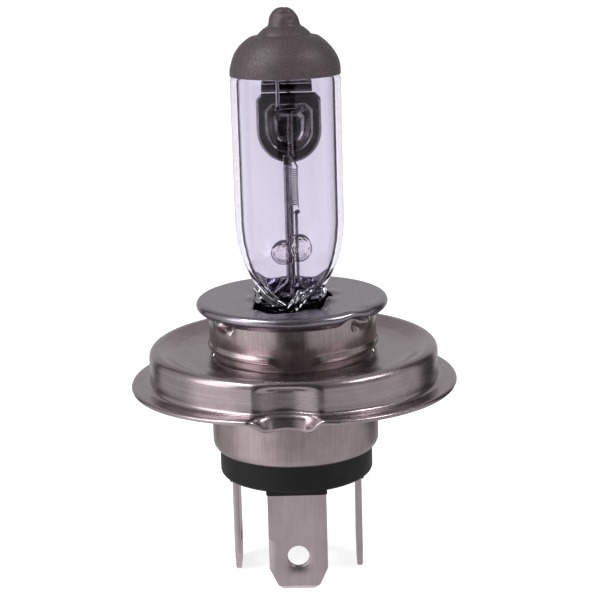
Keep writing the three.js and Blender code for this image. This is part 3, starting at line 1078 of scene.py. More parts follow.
@dataclass
class Base:
    """The drawn shell, the sleeve on its neck, the lid disc and the insulating plug."""

    shell: Extent = field(default_factory=lambda: Extent.of("base_shell"))
    sleeve: Extent = field(default_factory=lambda: Extent.of("focusing_sleeve"))
    disc: Extent = field(default_factory=lambda: Extent.of("retainer_disc"))
    plug: Extent = field(default_factory=lambda: Extent.of("insulator"))
    wall: float = 0.5
    neck_radius: float = 10.95
    sleeve_radius: float = 11.5
    disc_sheet: float = 0.6
    plug_radius: float = 10.65
    root_height: float = 0.5
    crimps: tuple[float, float] = (-54.0, 56.0)
    bead_drop: float = 0.8

    def shell_patch(self) -> Patch:
        """Neck, shoulder, skirt and the lower edge rolled in over the plug, by revolution.

        Returns:
            The surface, closed, with its faces pointing out.
        """
        half = self.wall / 2
        neck, skirt = self.neck_radius - half, self.shell.radius - half
        roll = 0.75
        profile = np.vstack([
            [[neck, self.shell.top], [neck, 3.3], [neck + 0.2, 3.05], [skirt - 0.1, 2.9],
             [skirt, 2.7]],
            arc(skirt - roll, self.shell.bottom + roll + half, roll, 0, -62, 10),
        ])
        angle, rz = revolve(evenly(profile, 0.2, ease=0.3), 180)
        return sheet(place(angle, rz[..., 0], rz[..., 1]), self.wall)

    def sleeve_patch(self) -> Patch:
        """The sleeve: its radius is a profile about the axis plus a bead round the foot.

        The bead is left out across the front tab, which reaches lower, and each crimp adds a
        bell outwards with a sharper one inwards beside it.

        Returns:
            The surface, closed, with its faces pointing out.
        """
        thickness = 0.4
        middle = self.sleeve_radius - thickness / 2
        top, foot = self.disc.top - 0.75, self.sleeve.bottom + thickness / 2 - self.bead_drop
        profile = evenly([[middle, top], [middle, foot]], 0.09)
        angle, rz = revolve(profile, 400)
        r, z = rz[..., 0], rz[..., 1]
        tab = smooth(angle, -17, -8) * (1 - smooth(angle, 11, 20))
        low = foot - 0.7 * tab
        z = low + (z - foot) * (top - low) / (top - foot)
        bead = self.sleeve.radius - self.sleeve_radius - 0.04
        r = r + bead * (1 - tab) * bump(z, foot + 0.3, 0.42) - 0.1 * tab * (1 - smooth(z, foot, 7.4))
        for crimp, side in zip(self.crimps, (1, -1)):
            r = r + 0.8 * bump(angle, crimp, 5.5) * bump(z, 9.75, 0.6)
            r = r - 0.5 * bump(angle, crimp + 9 * side, 2.6) * bump(z, 9.3, 0.6)
        return sheet(place(angle, r, z), thickness)

    def disc_patch(self) -> Patch:
        """The lid: straight lines from the opening's outline to the flat's edge, then the rim.

        The opening is a convex outline about the axis; its edge is bent down a little at the
        front and torn up at the right. The rim lifts beside the right-hand crimp.

        Returns:
            The surface, closed, with its faces pointing out.
        """
        half = self.disc_sheet / 2
        roll = 0.42
        flat = self.disc.radius - roll - half
        plane = self.disc.top - half
        rim = np.vstack([
            arc(flat, plane - roll, roll, 90, -34, 10),
            [[flat + roll - 0.95, self.disc.bottom + half]],
        ])
        rim = evenly(rim, 0.1, ease=0.15)
        angle = np.linspace(-180, 180, 360, endpoint=False)[:, None]
        outline = np.array([[-5.3, -6.6], [-2.2, -8.1], [3.9, -7.2], [5.9, 1.1], [5.0, 3.9],
                            [-5.3, 4.3]])
        inner = reach(outline, (0, 0), np.radians(angle - 90))
        share = np.linspace(0, 1, 40)[None, :] ** 1.3
        inner_r = inner + (flat - inner) * share
        torn = 1 - smooth(inner_r - inner, 0, 1.6)
        lift = torn * (0.35 * bump(angle, 62, 16) - 0.45 * bump(angle, -8, 26)
                       + 0.12 * np.sin(np.radians(angle * 7)))
        crest = 0.16 * bump(angle, 38, 5) - 0.12 * bump(angle, 52, 6)
        crest_top = crest * smooth(inner_r, flat - 1.2, flat)
        top = place(angle, inner_r, plane + lift + crest_top - 0.12 * (1 - share))
        skirt = np.broadcast_to(rim[None, 1:], (360, len(rim) - 1, 2))
        wave = 0.75 * bump(angle, 42, 8) + 0.5 * bump(angle, 58, 7) + 0.3 * bump(angle, -54, 8)
        fall = smooth(plane - skirt[..., 1], 0.0, 1.3)
        skirt = place(angle, skirt[..., 0], skirt[..., 1] + wave * fall + crest)
        return sheet(np.concatenate([top, skirt], axis=1), self.disc_sheet)

    def plug_patch(self, blades: Sequence["Blade"]) -> Patch:
        """The plug by revolution, with a shallow recess below, and a rounded root at each blade.

        Args:
            blades: the blades that it holds.

        Returns:
            The surface, closed, with its faces pointing out.
        """
        bottom = self.plug.bottom + self.root_height
        top = self.plug.top
        profile = np.vstack([
            [[0, bottom + 0.7], [5.2, bottom + 0.7], [5.6, bottom], [self.plug_radius - 0.6, bottom]],
            arc(self.plug_radius - 0.6, bottom + 0.6, 0.6, -90, 0, 8),
            [[self.plug_radius, top - 0.1], [self.plug_radius - 0.2, top], [0, top]],
        ])
        angle, rz = revolve(evenly(profile, 0.15), 160)
        patch = grid(place(angle, rz[..., 0], rz[..., 1]), around=True).outward()
        for blade in blades:
            size = (blade.width + 0.3, 1.5, 2 * self.root_height + 0.4)
            root = lump(size, (0, blade.reach, bottom + 0.2), power=0.16, steps=32)
            patch = patch + root.turned(blade.turn)
        return patch

    def build(self, bench: Bench, blades: Sequence["Blade"]) -> None:
        """Makes the base's pieces.

        Args:
            bench: makes and dresses the pieces.
            blades: the blades that the plug holds.
        """
        bench.piece("drawn_shell", self.shell_patch(), SHELL_STEEL, "shell_steel", "base_shell",
                    crease=60)
        bench.piece("sliding_sleeve", self.sleeve_patch(), SLEEVE_STEEL, "shell_steel",
                    "focusing_sleeve", crease=60)
        bench.piece("lid_disc", self.disc_patch(), DISC_STEEL, "disc_steel", "retainer_disc",
                    crease=60)
        bench.piece("insulating_plug", self.plug_patch(blades), BLACK_PLASTIC, "insulator_black",
                    "insulator")


@dataclass
class Blade:
    """A contact blade: a chamfered strip with a locking hole and rolled edges."""

    node: str
    turn: float
    box: Extent = field(init=False)
    width: float = 8.0
    thickness: float = 0.8
    tip_width: float = 5.3
    chamfer: float = 2.9
    hole_height: float = 4.7
    hole_radius: float = 1.5
    edge: float = 0.12

    def __post_init__(self) -> None:
        """Reads the blade's place from the frame."""
        self.box = Extent.of(self.node)

    @property
    def reach(self) -> float:
        """Where the blade's middle lies in front of the axis before it is turned."""
        return -float(np.abs(self.box.middle[:2]).max())

    def patch(self) -> Patch:
        """The strip as rings between its hole and its outline.

        For each direction from the hole's centre, the section loop goes from the hole's edge to
        the outline on one face and back on the other, with a small bevel at each corner.

        Returns:
            The surface, closed, with its faces pointing out.
        """
        half, tip, top = self.width / 2, self.box.bottom, self.box.top
        tip_half = self.tip_width / 2
        outline = np.array([[-tip_half, tip], [tip_half, tip], [half, tip + self.chamfer],
                            [half, top], [-half, top], [-half, tip + self.chamfer]])
        centre = np.array([0, tip + self.hole_height])
        corners = np.arctan2(*(outline - centre).T[::-1])
        even = np.linspace(-math.pi, math.pi, 144, endpoint=False)
        angle = np.unique(np.concatenate([even, corners]))
        far = reach(outline, centre, angle)
        far = far - 0.25 * np.sum([bump(angle, c, 0.05) for c in corners[:2]], axis=0)
        e, t = self.edge, self.thickness / 2
        near = np.full_like(far, self.hole_radius)
        mid = (near + far) / 2
        r = np.stack([near, near + e, mid, far - e, far, far, far - e, mid, near + e, near], -1)
        y = np.array([t - e, t, t, t, t - e, e - t, -t, -t, -t, e - t])
        x = centre[0] + r * np.cos(angle)[:, None]
        z = centre[1] + r * np.sin(angle)[:, None]
        points = np.stack(np.broadcast_arrays(x, self.reach - y, z), -1)
        return grid(points, around=True, along=True).outward().turned(self.turn)

    def build(self, bench: Bench) -> None:
        """Makes the blade."""
        name = self.node.replace("blade_", "contact_")
        bench.piece(name, self.patch(), BLADE_PLATE, "blade_metal", self.node, crease=50)


@dataclass
class PinchClips:
    """Two spring leaves crumpled against the glass pinch."""

    front: Extent = field(default_factory=lambda: Extent.of("pinch_clip_front"))
    rear: Extent = field(default_factory=lambda: Extent.of("pinch_clip_rear"))
    sheet: float = 0.12
    mesh_step: float = 0.09
    ridge_depth: float = 0.07

    def leaf(self, path: Sequence[Sequence[float]], width: Sequence[float], seed: int,
             depth: float, scale: float = 1.6, folds: int = 3, ridges: int = 0) -> Patch:
        """A crumpled strip along a path.

        A point is the path's point plus a share of the width vector, moved along the strip's
        normal by folded waves, and by ridges that run along the strip.

        Args:
            path: corner points of its middle line.
            width: vector across the strip.
            seed: starts its creases.
            depth: depth of the creases.
            scale: length of the widest crease.
            folds: number of waves in the creases.
            ridges: number of ridges across the width.

        Returns:
            The strip as a closed surface.
        """
        line = evenly(path, self.mesh_step, ease=0.5)
        across = np.asarray(width, float)
        share = np.linspace(-0.5, 0.5, max(8, int(np.linalg.norm(across) / self.mesh_step)))
        middle = line[:, None] + share[None, :, None] * across
        u = np.arange(len(line))[:, None] * self.mesh_step
        v = share[None, :] * np.linalg.norm(across)
        relief = depth * wrinkle(u, v, seed, scale, folds)
        if ridges:
            relief = relief + self.ridge_depth * np.cos(share[None, :] * 2 * math.pi * ridges)
        middle = middle + normals(middle, False) * relief[..., None]
        return sheet(middle, self.sheet, around=False, rim_steps=2)

    def build(self, bench: Bench) -> None:
        """Makes the front clip, the rear clip and the foil behind the glass's foot.

        Args:
            bench: makes and dresses the pieces.
        """
        y = self.front.high[1] - 0.2
        low, high = self.front.bottom, self.front.top
        back = self.leaf([[-0.4, y, low], [-0.4, y, 10.4], [-0.2, y - 0.1, 11.4]],
                         (7.6, 0, 0), 3, 0.12, 2.4)
        tongue = self.leaf([[-4.6, y + 0.5, high + 0.2], [-3.4, y - 0.5, 12.7], [-2.0, y - 1.0, 11.7],
                            [-0.9, y - 0.9, 10.9]], (0.85, -0.1, 1.0), 5, 0.03, 2.0, 2, ridges=4)
        hem = self.leaf([[-3.6, y - 1.3, 11.2], [-2.2, y - 1.5, 11.0], [-0.6, y - 1.4, 11.15]],
                        (0.0, 0.5, -0.55), 8, 0.1, 1.2)
        bunch = self.leaf([[2.2, y - 0.3, 13.3], [1.4, y - 1.2, 12.5], [0.7, y - 1.5, 11.6],
                           [0.3, y - 1.0, 10.4]], (2.6, -0.3, 0.9), 12, 0.42, 2.0, 4)
        spur = self.leaf([[1.0, y - 1.4, 12.6], [1.9, y - 1.5, 13.2], [2.9, y - 0.9, 13.5]],
                         (0.3, -0.3, 0.5), 17, 0.1, 1.4)
        hook = self.leaf([[-4.5, y + 0.5, 13.3], [-4.8, y - 0.4, 12.3], [-4.3, y - 1.4, 11.8]],
                         (0.6, -0.5, 0.3), 21, 0.12, 1.5)
        front = back + tongue + hem + bunch + spur + hook
        bench.piece("front_leaf", front, SPRING_STEEL, "spring_steel", "pinch_clip_front", crease=25)
        y = self.rear.low[1] + 0.2
        low, high = self.rear.bottom, self.rear.top
        back = self.leaf([[0, y, low], [0, y, 11.6], [0, y + 0.2, 12.4], [0, y + 0.9, high]],
                         (7.8, 0, 0), 31, 0.14)
        wing = self.leaf([[3.6, y - 0.4, 13.4], [4.3, y - 0.9, 12.6], [4.4, y - 1.8, 11.4]],
                         (0.8, 0.9, 0.3), 37, 0.12)
        bench.piece("rear_leaf", back + wing, SPRING_STEEL, "spring_steel", "pinch_clip_rear", crease=25)
        behind = self.leaf([[-4.7, 2.6, 11.8], [-1.5, 2.8, 12.1], [1.5, 2.8, 11.9], [4.4, 2.5, 12.0]],
                           (0, 2.8, 1.1), 43, 0.14, 1.5, 4)
        bench.piece("pinch_bedding", behind, BEDDING_FOIL, "spring_steel", crease=25)


# ---------------------------------------------------------------------------------------------
# The capsule
# ---------------------------------------------------------------------------------------------


@dataclass
class Capsule:
    """The quartz envelope and the coat on its dome."""

    glass: Extent = field(default_factory=lambda: Extent.of("glass_envelope"))
    cap: Extent = field(default_factory=lambda: Extent.of("anti_glare_cap"))
    radius: float = 7.4
    wall: float = 1.1
    pinch_width: float = 7.4
    pinch_top: float = 12.2
    round_height: float = 22.0
    dome_base: float = 42.1
    cavity_bottom: float = 10.6
    cavity_ease: float = 1.6
    pinch_share: float = 0.42
    coat: float = 0.18

    def dome(self, grow: float) -> Array:
        """Outline from the tube up over the shoulder, the collar and the sealed tip.

        Args:
            grow: how far outside the outline of the coat it lies.

        Returns:
            (m, 2) radii and heights, ending on the axis.
        """
        base = self.dome_base + 0.5
        shoulder = arc(0, 0, self.radius, 0, 53, 16) * (1, 0.78) + (grow, base + grow * 0.4)
        tip = self.cap.top + grow
        return np.vstack([
            [[self.radius + grow, self.dome_base]], shoulder,
            [[3.72 + grow, tip - 3.75], [3.35 + grow, tip - 3.25], [2.72 + grow, tip - 2.72],
             [2.2 + grow, tip - 2.45], [2.08 + grow, tip - 1.9], [1.95 + grow, tip - 1.3],
             [1.5 + grow, tip - 0.6], [0.9 + grow, tip - 0.14], [0, tip]],
        ])

    def section(self, height: Array, width: Array, depth: Array, power: Array,
                steps: int) -> Array:
        """Rings of superellipse section.

        A point is half the width times the signed power of the cosine, and half the depth times
        that of the sine; a power of 1 is an ellipse and a small one nearly a rectangle.

        Args:
            height: (m,) heights of the rings.
            width: (m,) half widths.
            depth: (m,) half depths.
            power: (m,) exponents.
            steps: spans round each ring.

        Returns:
            A (steps, m, 3) grid.
        """
        a = np.radians(np.linspace(-180, 180, steps, endpoint=False))[:, None]
        s, c = np.sin(a), np.cos(a)
        x = width * np.sign(s) * np.abs(s) ** power
        y = -depth * np.sign(c) * np.abs(c) ** power
        return np.stack(np.broadcast_arrays(x, y, height), -1)

    def glass_patch(self) -> Patch:
        """The outside, from the pinch through the tube to the tip, and the cavity inside it.

        The outside's half depth is its half width times a squeeze that eases from the pinch's
        share to 1. The cavity is the outside less the wall, and its floor closes as a quarter
        circle; both turn from a rounded rectangle into a circle on the way up.

        Returns:
            The surface, closed, with its faces pointing out.
        """
        half_width, under = self.pinch_width / 2, -0.3
        outline = np.vstack([
            [[0, self.glass.bottom], [half_width, self.glass.bottom], [half_width, 11.4], [3.9, 12.2],
             [4.4, 13.0], [5.1, 14.0], [5.75, 15.1], [6.35, 16.4], [6.82, 17.9], [7.2, 19.8],
             [self.radius, self.round_height]],
            self.dome(under)[:1] + (-under, -0.4),
            self.dome(under),
        ])
        line = evenly(outline, 0.22, ease=1.1)
        line[0], line[-1] = (0, self.glass.bottom), (0, line[-1, 1])
        width, z = line.T
        squeeze = smooth(z, self.pinch_top - 1.2, self.round_height - 0.4)
        depth = width * (self.pinch_share + (1 - self.pinch_share) * squeeze)
        outside = self.section(z, width, depth, self.roundness(z), 160)
        floor, ease = self.cavity_bottom, self.cavity_ease
        quarter = np.linspace(0, math.pi / 2, 15)
        inner = self.radius - self.wall
        crown = arc(0, 0, inner, 0, 90, 24) * (1, 0.74) + (0, self.dome_base)
        rise = np.concatenate([floor + ease * (1 - np.cos(quarter)),
                               np.arange(floor + ease + 0.2, self.dome_base, 0.25)])
        close = np.sqrt(1 - np.clip((floor + ease - rise) / ease, 0, 1) ** 2)
        inner_width = np.concatenate([(np.interp(rise, z, width) - self.wall) * close, crown[:, 0]])
        inner_depth = np.concatenate([(np.interp(rise, z, depth) - self.wall) * close, crown[:, 0]])
        height = np.concatenate([rise, crown[:, 1]])
        cavity = self.section(height, inner_width, inner_depth, self.roundness(height), 160)
        return grid(outside, around=True).outward() + grid(cavity, around=True).outward().inward()

    def roundness(self, height: Array) -> Array:
        """Exponent of the section at a height: nearly a rectangle in the pinch, then an ellipse."""
        return 0.3 + 0.7 * smooth(height, self.pinch_top - 0.5, self.pinch_top + 5)

    def cap_patch(self) -> Patch:
        """The coat: the dome's outline by revolution, and the same outline a coat's depth inside.

        The tip is creased: a slit across its front, an upright nick above it and a soft dimple
        on each side.

        Returns:
            The surface, closed, with its faces pointing out.
        """
        outer = evenly(self.dome(0.0), 0.11, ease=0.45)
        outer[-1] = (0, outer[-1, 1])
        angle, rz = revolve(outer, 200)
        r, z = rz[..., 0], rz[..., 1]
        x, y = r * np.sin(np.radians(angle)), -r * np.cos(np.radians(angle))
        top = self.cap.top
        front = smooth(-y, -0.2, 0.5)
        slit = 0.24 * bump(z, top - 0.62, 0.13) * bump(x, 0.15, 0.75) * front
        nick = 0.2 * bump(x, 0.1, 0.14) * smooth(z, top - 0.65, top - 0.25) * smooth(-y, -0.9, 0.1)
        dimple = 0.14 * bump(z, top - 1.5, 0.45) * (bump(angle, 28, 16) + bump(angle, -38, 18))
        lumps = 0.05 * (1 + np.sin(np.radians(3 * angle)) * np.cos(z * 1.3)) * smooth(z, 42.6, 44)
        r = np.maximum(r - (slit + dimple + lumps) * smooth(r, 0, 0.4), 0)
        z = z - (0.5 * slit + nick) * smooth(z, top - 1.2, top - 0.4)
        outside = place(angle, r, z)
        inner = evenly(self.dome(-self.coat), 0.2, ease=0.45)
        inner[-1] = (0, inner[-1, 1])
        _, inner_rz = revolve(inner[::-1], 200)
        inner_r, inner_z = inner_rz[..., 0], inner_rz[..., 1]
        inside = place(angle, inner_r, inner_z + np.where(inner_r > 3, 0.0, -0.25))
        return grid(np.concatenate([inside, outside], axis=1), around=True).outward()

    def build(self, bench: Bench) -> None:
        """Makes the envelope and the coat."""
        bench.piece("quartz_envelope", self.glass_patch(), BACKDROP_TINTED_QUARTZ, "quartz_glass", "glass_envelope",
                    crease=60)
        bench.piece("dome_coat", self.cap_patch(), COAT, "anti_glare_coat", "anti_glare_cap",
                    crease=70)


@dataclass
class Shield:
    """The dipped-beam shield: a dished spoon with its open side forwards."""

    box: Extent = field(default_factory=lambda: Extent.of("dipped_beam_shield"))
    fold: Extent = field(default_factory=lambda: Extent.of("shield_top_fold"))
    sheet: float = 0.22
    corner: float = 0.75
    rim: float = 1.15

    def outline(self, inset: Array, steps: int) -> Array:
        """The spoon's outline: a half circle below, straight sides and chamfered top corners.

        Args:
            inset: (m,) how far inside the outer outline each ring lies.
            steps: spans round it.

        Returns:
            (steps, m, 2) widths and heights.
        """
        half = self.box.radius
        centre = np.array([self.box.middle[0], self.box.bottom + half])
        top = self.box.top - centre[1]
        a = np.radians(np.linspace(-90, 270, steps, endpoint=False))[:, None]
        w = half - inset[None, :]
        lid = np.maximum(top - inset[None, :] * 1.25, 0.02)
        s, c = np.sin(a), np.cos(a)
        side = w / np.maximum(np.abs(c), 1e-6)
        roof = lid / np.maximum(s, 1e-6)
        bevel = (w + lid - self.corner) / np.maximum(np.abs(c) + s, 1e-6)
        upper = np.minimum(np.minimum(side, roof), bevel)
        r = np.where(s > 0, upper, w)
        return np.stack([centre[0] + r * c, centre[1] + r * s], -1)

    def bowl(self) -> Patch:
        """Rim, walls and floor of the spoon, ring by ring towards the middle.

        Returns:
            The surface, closed, with its faces pointing out.
        """
        front, depth = self.box.low[1] + self.sheet / 2, self.box.size[1] - self.sheet
        stations = evenly([[0, 0.12], [0.12, 0], [self.rim, 0], [self.rim + 0.22, 0.25],
                           [self.rim + 0.5, 0.5 * depth], [self.rim + 0.9, 0.86 * depth],
                           [self.rim + 1.5, depth], [self.box.radius - 0.02, depth]], 0.13, ease=0.3)
        xz = self.outline(stations[:, 0], 240)
        sag = 0.05 * wrinkle(xz[..., 0], xz[..., 1], 9, 5.0, 4)
        y = front + stations[None, :, 1] + sag * smooth(stations[None, :, 0], 0, 0.6)
        points = np.stack([xz[..., 0], y, xz[..., 1]], -1)
        return sheet(points, self.sheet)

    def ribs(self) -> Patch:
        """Three bands bulging forwards, one above the other, on a narrow strap behind them.

        Returns:
            The surface, closed, with its faces pointing out.
        """
        low, high = self.fold.bottom + 0.05, 41.75
        slot, first, second = 0.14, low + 0.6, low + 1.02
        x = self.fold.middle[0] + np.linspace(-3.45, 3.45, 60)[:, None]
        bands = Patch(np.zeros((0, 3)), np.zeros((0, 4), int))
        for start, end in ((low, first), (first + slot, second), (second + slot, high)):
            share = np.linspace(0, 1, 16)[None, :]
            y = self.fold.low[1] + 0.45 - 0.12 * np.sin(math.pi * share)
            z = start + (end - start) * share
            bands = bands + sheet(np.stack(np.broadcast_arrays(x, y, z), -1), 0.12, around=False)
        strap = lump((0.8, 0.16, high - low), (-1.1, self.fold.low[1] + 0.6, (low + high) / 2), 0.2)
        return bands + strap

    def crumple(self) -> Patch:
        """A torn, bright shred of sheet at the shield's upper right corner.

        Returns:
            The surface, closed, with its faces pointing out.
        """
        u = np.linspace(0, 1, 50)[:, None]
        v = np.linspace(0, 1, 30)[None, :]
        x = 1.7 + 2.0 * u + 0 * v
        z = 36.9 + 1.1 * u + (0.15 + 0.9 * np.sin(math.pi * u)) * (v - 0.3)
        y = self.box.low[1] + 0.5 + 0.16 * wrinkle(u * 2, v, 4, 0.7)
        return sheet(np.stack(np.broadcast_arrays(x, y, z), -1), 0.08, around=False)

    def build(self, bench: Bench) -> None:
        """Makes the shield, its top fold and the shred.

        Args:
            bench: makes and dresses the pieces.
        """
        bench.piece("shield_bowl", self.bowl(), SHIELD_METAL, "shield_metal", "dipped_beam_shield",
                    crease=50)
        bench.piece("shield_ribs", self.ribs(), SHIELD_METAL, "shield_metal", "shield_top_fold",
                    crease=50)
        bench.piece("shield_shred", self.crumple(), BRIGHT_METAL, "shield_metal", crease=20)


@dataclass
class Mount:
    """The three conductors, their clamps and the quartz bridge between them."""

    spread: float = 2.5
    rod: tuple[float, float, float] = (-0.25, 0.1, 0.375)
    dipped: tuple[float, float, float] = (0.3, 1.0, 0.3)
    main: tuple[float, float, float] = (0.95, 0.1, 0.2)
    coil_y: float = -0.45
    foot: float = 11.3

    def stem(self, start: float, lead: tuple[float, float, float], top: float) -> list[list[float]]:
        """Corner points of a conductor from its place in the pinch to a height on its own line.

        Args:
            start: where it stands in the pinch.
            lead: its place across and along, and its radius.
            top: the height it reaches.

        Returns:
            The points.
        """
        x, y, _ = lead
        return [[start, 0, self.foot], [start, 0, 12.1], [start * 0.6 + x * 0.4, y / 2, 13.0],
                [x, y, 14.1], [x, y, top]]

    def wire(self, points: Sequence[Sequence[float]], radius: float) -> Patch:
        """A wire through corner points, bent smoothly."""
        return tube(evenly(points, 0.12, ease=1.2), radius, 20, (1.0, 0.02, 0.05))

    def bridge(self) -> Patch:
        """The bead: the farther of two ellipsoids in each direction, with rings on each lobe.

        Along each direction from the middle, the distance to each ellipsoid is the root of a
        quadratic; the two are joined by a soft maximum, and ripples of the distance from each
        lobe's middle are added.

        Returns:
            The surface, closed, with its faces pointing out.
        """
        centre = Extent.of("quartz_bridge").middle
        u = np.linspace(-math.pi, math.pi, 200, endpoint=False)[:, None]
        v = np.linspace(-math.pi / 2, math.pi / 2, 101)[None, :]
        way = np.stack(np.broadcast_arrays(np.cos(u) * np.cos(v), np.sin(u) * np.cos(v),
                                           np.sin(v)), -1)
        lobes = (((-0.95, centre[1], 18.05), (1.8, 1.45, 1.65)),
                 ((1.2, centre[1], 18.6), (1.85, 1.45, 1.85)))
        exits = []
        for middle, size in lobes:
            from_middle = (centre - np.array(middle)) / size
            slope = way / np.array(size)
            a = np.sum(slope * slope, -1)
            b = np.sum(slope * from_middle, -1)
            c = np.sum(from_middle * from_middle) - 1
            exits.append((-b + np.sqrt(np.maximum(b * b - a * c, 0))) / a)
        far = np.log(np.exp(6 * exits[0]) + np.exp(6 * exits[1])) / 6 - 0.08
        points = centre + far[..., None] * way
        for middle, _ in lobes:
            away = np.hypot(points[..., 0] - middle[0], points[..., 2] - middle[2])
            far = far + 0.05 * np.sin(away * 2 * math.pi / 0.42) * (1 - smooth(away, 1.0, 1.8))
        return grid(centre + far[..., None] * way, around=True).outward()

    def clamps(self) -> dict[str, Patch]:
        """The small pieces that hold the filaments' legs, by the CAD node each stands for.

        Returns:
            The surfaces.
        """
        rod_x, y = self.rod[0], self.coil_y
        strap = lump((0.95, 0.42, 1.5), (rod_x + 0.1, 0.2, 30.55), 0.25)
        strap = strap + lump((0.8, 0.5, 0.28), (rod_x + 0.1, 0.16, 31.25), 0.4)
        bar = tube(evenly([[-1.35, y, 37.62], [1.15, y, 37.7]], 0.1), 0.19, 16, (0, 0, 1))
        bar = bar + lump((0.7, 0.6, 0.6), (-1.1, y, 37.65), 0.35)
        drop = tube(evenly([[1.25, y, 29.75], [1.0, y - 0.05, 30.3], [0.55, y, 30.9],
                            [0.35, y + 0.1, 31.3]], 0.05, ease=0.4), 0.12, 14, (0, 1, 0))
        hook = tube(evenly([[0.45, y, 23.35], [0.85, y - 0.12, 23.75], [1.25, y, 23.95],
                            [1.35, y + 0.3, 23.5]], 0.05, ease=0.5), 0.13, 14, (0, 1, 0))
        block = lump((0.42, 0.5, 0.62), (1.02, y + 0.35, 23.55), 0.35)
        return {"support_clamp": strap, "upper_leg_clamp": bar, "middle_leg_clamp": drop,
                "lower_leg_clamp": hook + block}

    def build(self, bench: Bench) -> None:
        """Makes the conductors, the clamps and the bridge.

        Args:
            bench: makes and dresses the pieces.
        """
        x, y, r = self.rod
        rod = self.wire([*self.stem(-self.spread, self.rod, 29.0), [x, y, 29.85]], r)
        bench.piece("centre_rod", rod, WIRE_METAL, "lead_wire", "support_rod")
        x, y, r = self.dipped
        top = Extent.of("dipped_lead").top - r
        route = [*self.stem(0, self.dipped, 26.2), [x, 2.5, 28.4], [x, 4.2, 30.8], [x, 4.3, 36],
                 [x, 4.25, 41.2], [x - 0.5, 2.8, top], [-1.1, 0.4, top], [-1.1, -0.5, 41.4],
                 [-1.1, -0.5, 38.0]]
        bench.piece("dipped_conductor", self.wire(route, r * 0.9), WIRE_METAL, "lead_wire",
                    "dipped_lead")
        x, y, r = self.main
        thin = self.wire([*self.stem(self.spread, self.main, 22.5), [x, y, 23.3]], r)
        bench.piece("main_conductor", thin, WIRE_METAL, "lead_wire", "main_lead")
        for node, patch in self.clamps().items():
            finish = WIRE_METAL if node == "support_clamp" else BRIGHT_METAL
            bench.piece(node.replace("clamp", "grip"), patch, finish, "lead_wire", node)
        bench.piece("bridge_bead", self.bridge(), BRIDGE_QUARTZ, "quartz_glass", "quartz_bridge")
        for lead in ("support", "dipped", "main"):
            bench.dress_node(f"{lead}_foil", FOIL_METAL)
            bench.dress_node(f"{lead}_outer_pin", WIRE_METAL)


@dataclass
class Filament:
    """A coiled tungsten filament on straight legs."""

    node: str
    low: float
    high: float
    turns: int
    coil_radius: float
    x: float
    y: float = -0.45
    wire: float = 0.07
    leg: float = 0.35

    def build(self, bench: Bench) -> None:
        """Makes the filament: a helix whose ends run out as legs along its side.

        Args:
            bench: makes and dresses the pieces.
        """
        t = np.linspace(0, 1, self.turns * 26 + 1)
        a = 2 * math.pi * self.turns * t
        drift, r = 0.03 * np.sin(t * 9), self.coil_radius
        helix = np.stack([self.x + drift + r * np.cos(a), self.y + r * np.sin(a),
                          self.low + (self.high - self.low) * t], -1)
        count, gap = 6, 0.08
        heights = (np.linspace(self.low - self.leg, self.low - gap, count),
                   np.linspace(self.high + gap, self.high + self.leg, count))
        legs = [np.stack([np.full(count, end[0]), np.full(count, end[1]), z], -1)
                for end, z in zip((helix[0], helix[-1]), heights)]
        path = np.vstack([legs[0], helix, legs[1]])
        name = self.node.replace("filament", "coil")
        bench.piece(name, self._swept(path), TUNGSTEN, "tungsten", self.node, crease=70)

    def _swept(self, path: Array) -> Patch:
        """The wire's surface: rings across the path, one axis pointing away from the coil's middle.

        Args:
            path: (n, 3) points of the wire's centre line.

        Returns:
            The surface, closed, with its faces pointing out.
        """
        tangent = np.gradient(path, axis=0)
        tangent /= np.linalg.norm(tangent, axis=1, keepdims=True)
        away = path - np.array([self.x, self.y, 0])
        away[:, 2] = 0
        away -= tangent * np.sum(away * tangent, axis=1, keepdims=True)
        away /= np.linalg.norm(away, axis=1, keepdims=True)
        other = np.cross(tangent, away)
        a = np.linspace(0, 2 * math.pi, 8, endpoint=False)[:, None, None]
        size = np.full(len(path), self.wire)
        size[0] = size[-1] = 0
        ring = path + size[:, None] * (np.cos(a) * away + np.sin(a) * other)
        return grid(ring, around=True).outward()


# ---------------------------------------------------------------------------------------------
# The studio
# ---------------------------------------------------------------------------------------------


@dataclass(frozen=True)
class Softbox:
    """A rectangular light that looks at the bulb."""

    name: str
    direction: tuple[float, float, float]
    distance: float
    size: tuple[float, float]
    power: float

    def build(self) -> None:
        """Makes the light, pointed at the axis at the height of the flange plane."""
        light = bpy.data.lights.new(self.name, "AREA")
        light.shape = "RECTANGLE"
        light.size, light.size_y = self.size
        light.energy = self.power
        lamp = bpy.data.objects.new(self.name, light)
        way = Vector(self.direction).normalized()
        lamp.location = Vector((0, 0, FLANGE_Z * MM)) + way * self.distance
        lamp.rotation_mode = "QUATERNION"
        lamp.rotation_quaternion = way.to_track_quat("Z", "Y")
        lamp.visible_camera = False
        bpy.context.scene.collection.objects.link(lamp)


@dataclass(frozen=True)
class Flag:
    """A dark cloth beside the bulb that only its reflections and the glass show."""

    name: str
    middle: float
    half: float
    near: float = 60.0
    far: float = 420.0
    height: float = 420.0

    def build(self, bench: Bench) -> None:
        """Makes the cloth: a fan on the floor that turns up at its far edge.

        Args:
            bench: makes and dresses the pieces.
        """
        angle = np.linspace(self.middle - self.half, self.middle + self.half, 24)[:, None]
        floor = 1.0 - FLANGE_Z
        path = evenly([[self.near, floor], [self.far, floor], [self.far, self.height]], 20, ease=60)
        bench.cloth(self.name, grid(place(angle, path[:, 0], path[:, 1])), FLAG_CLOTH)


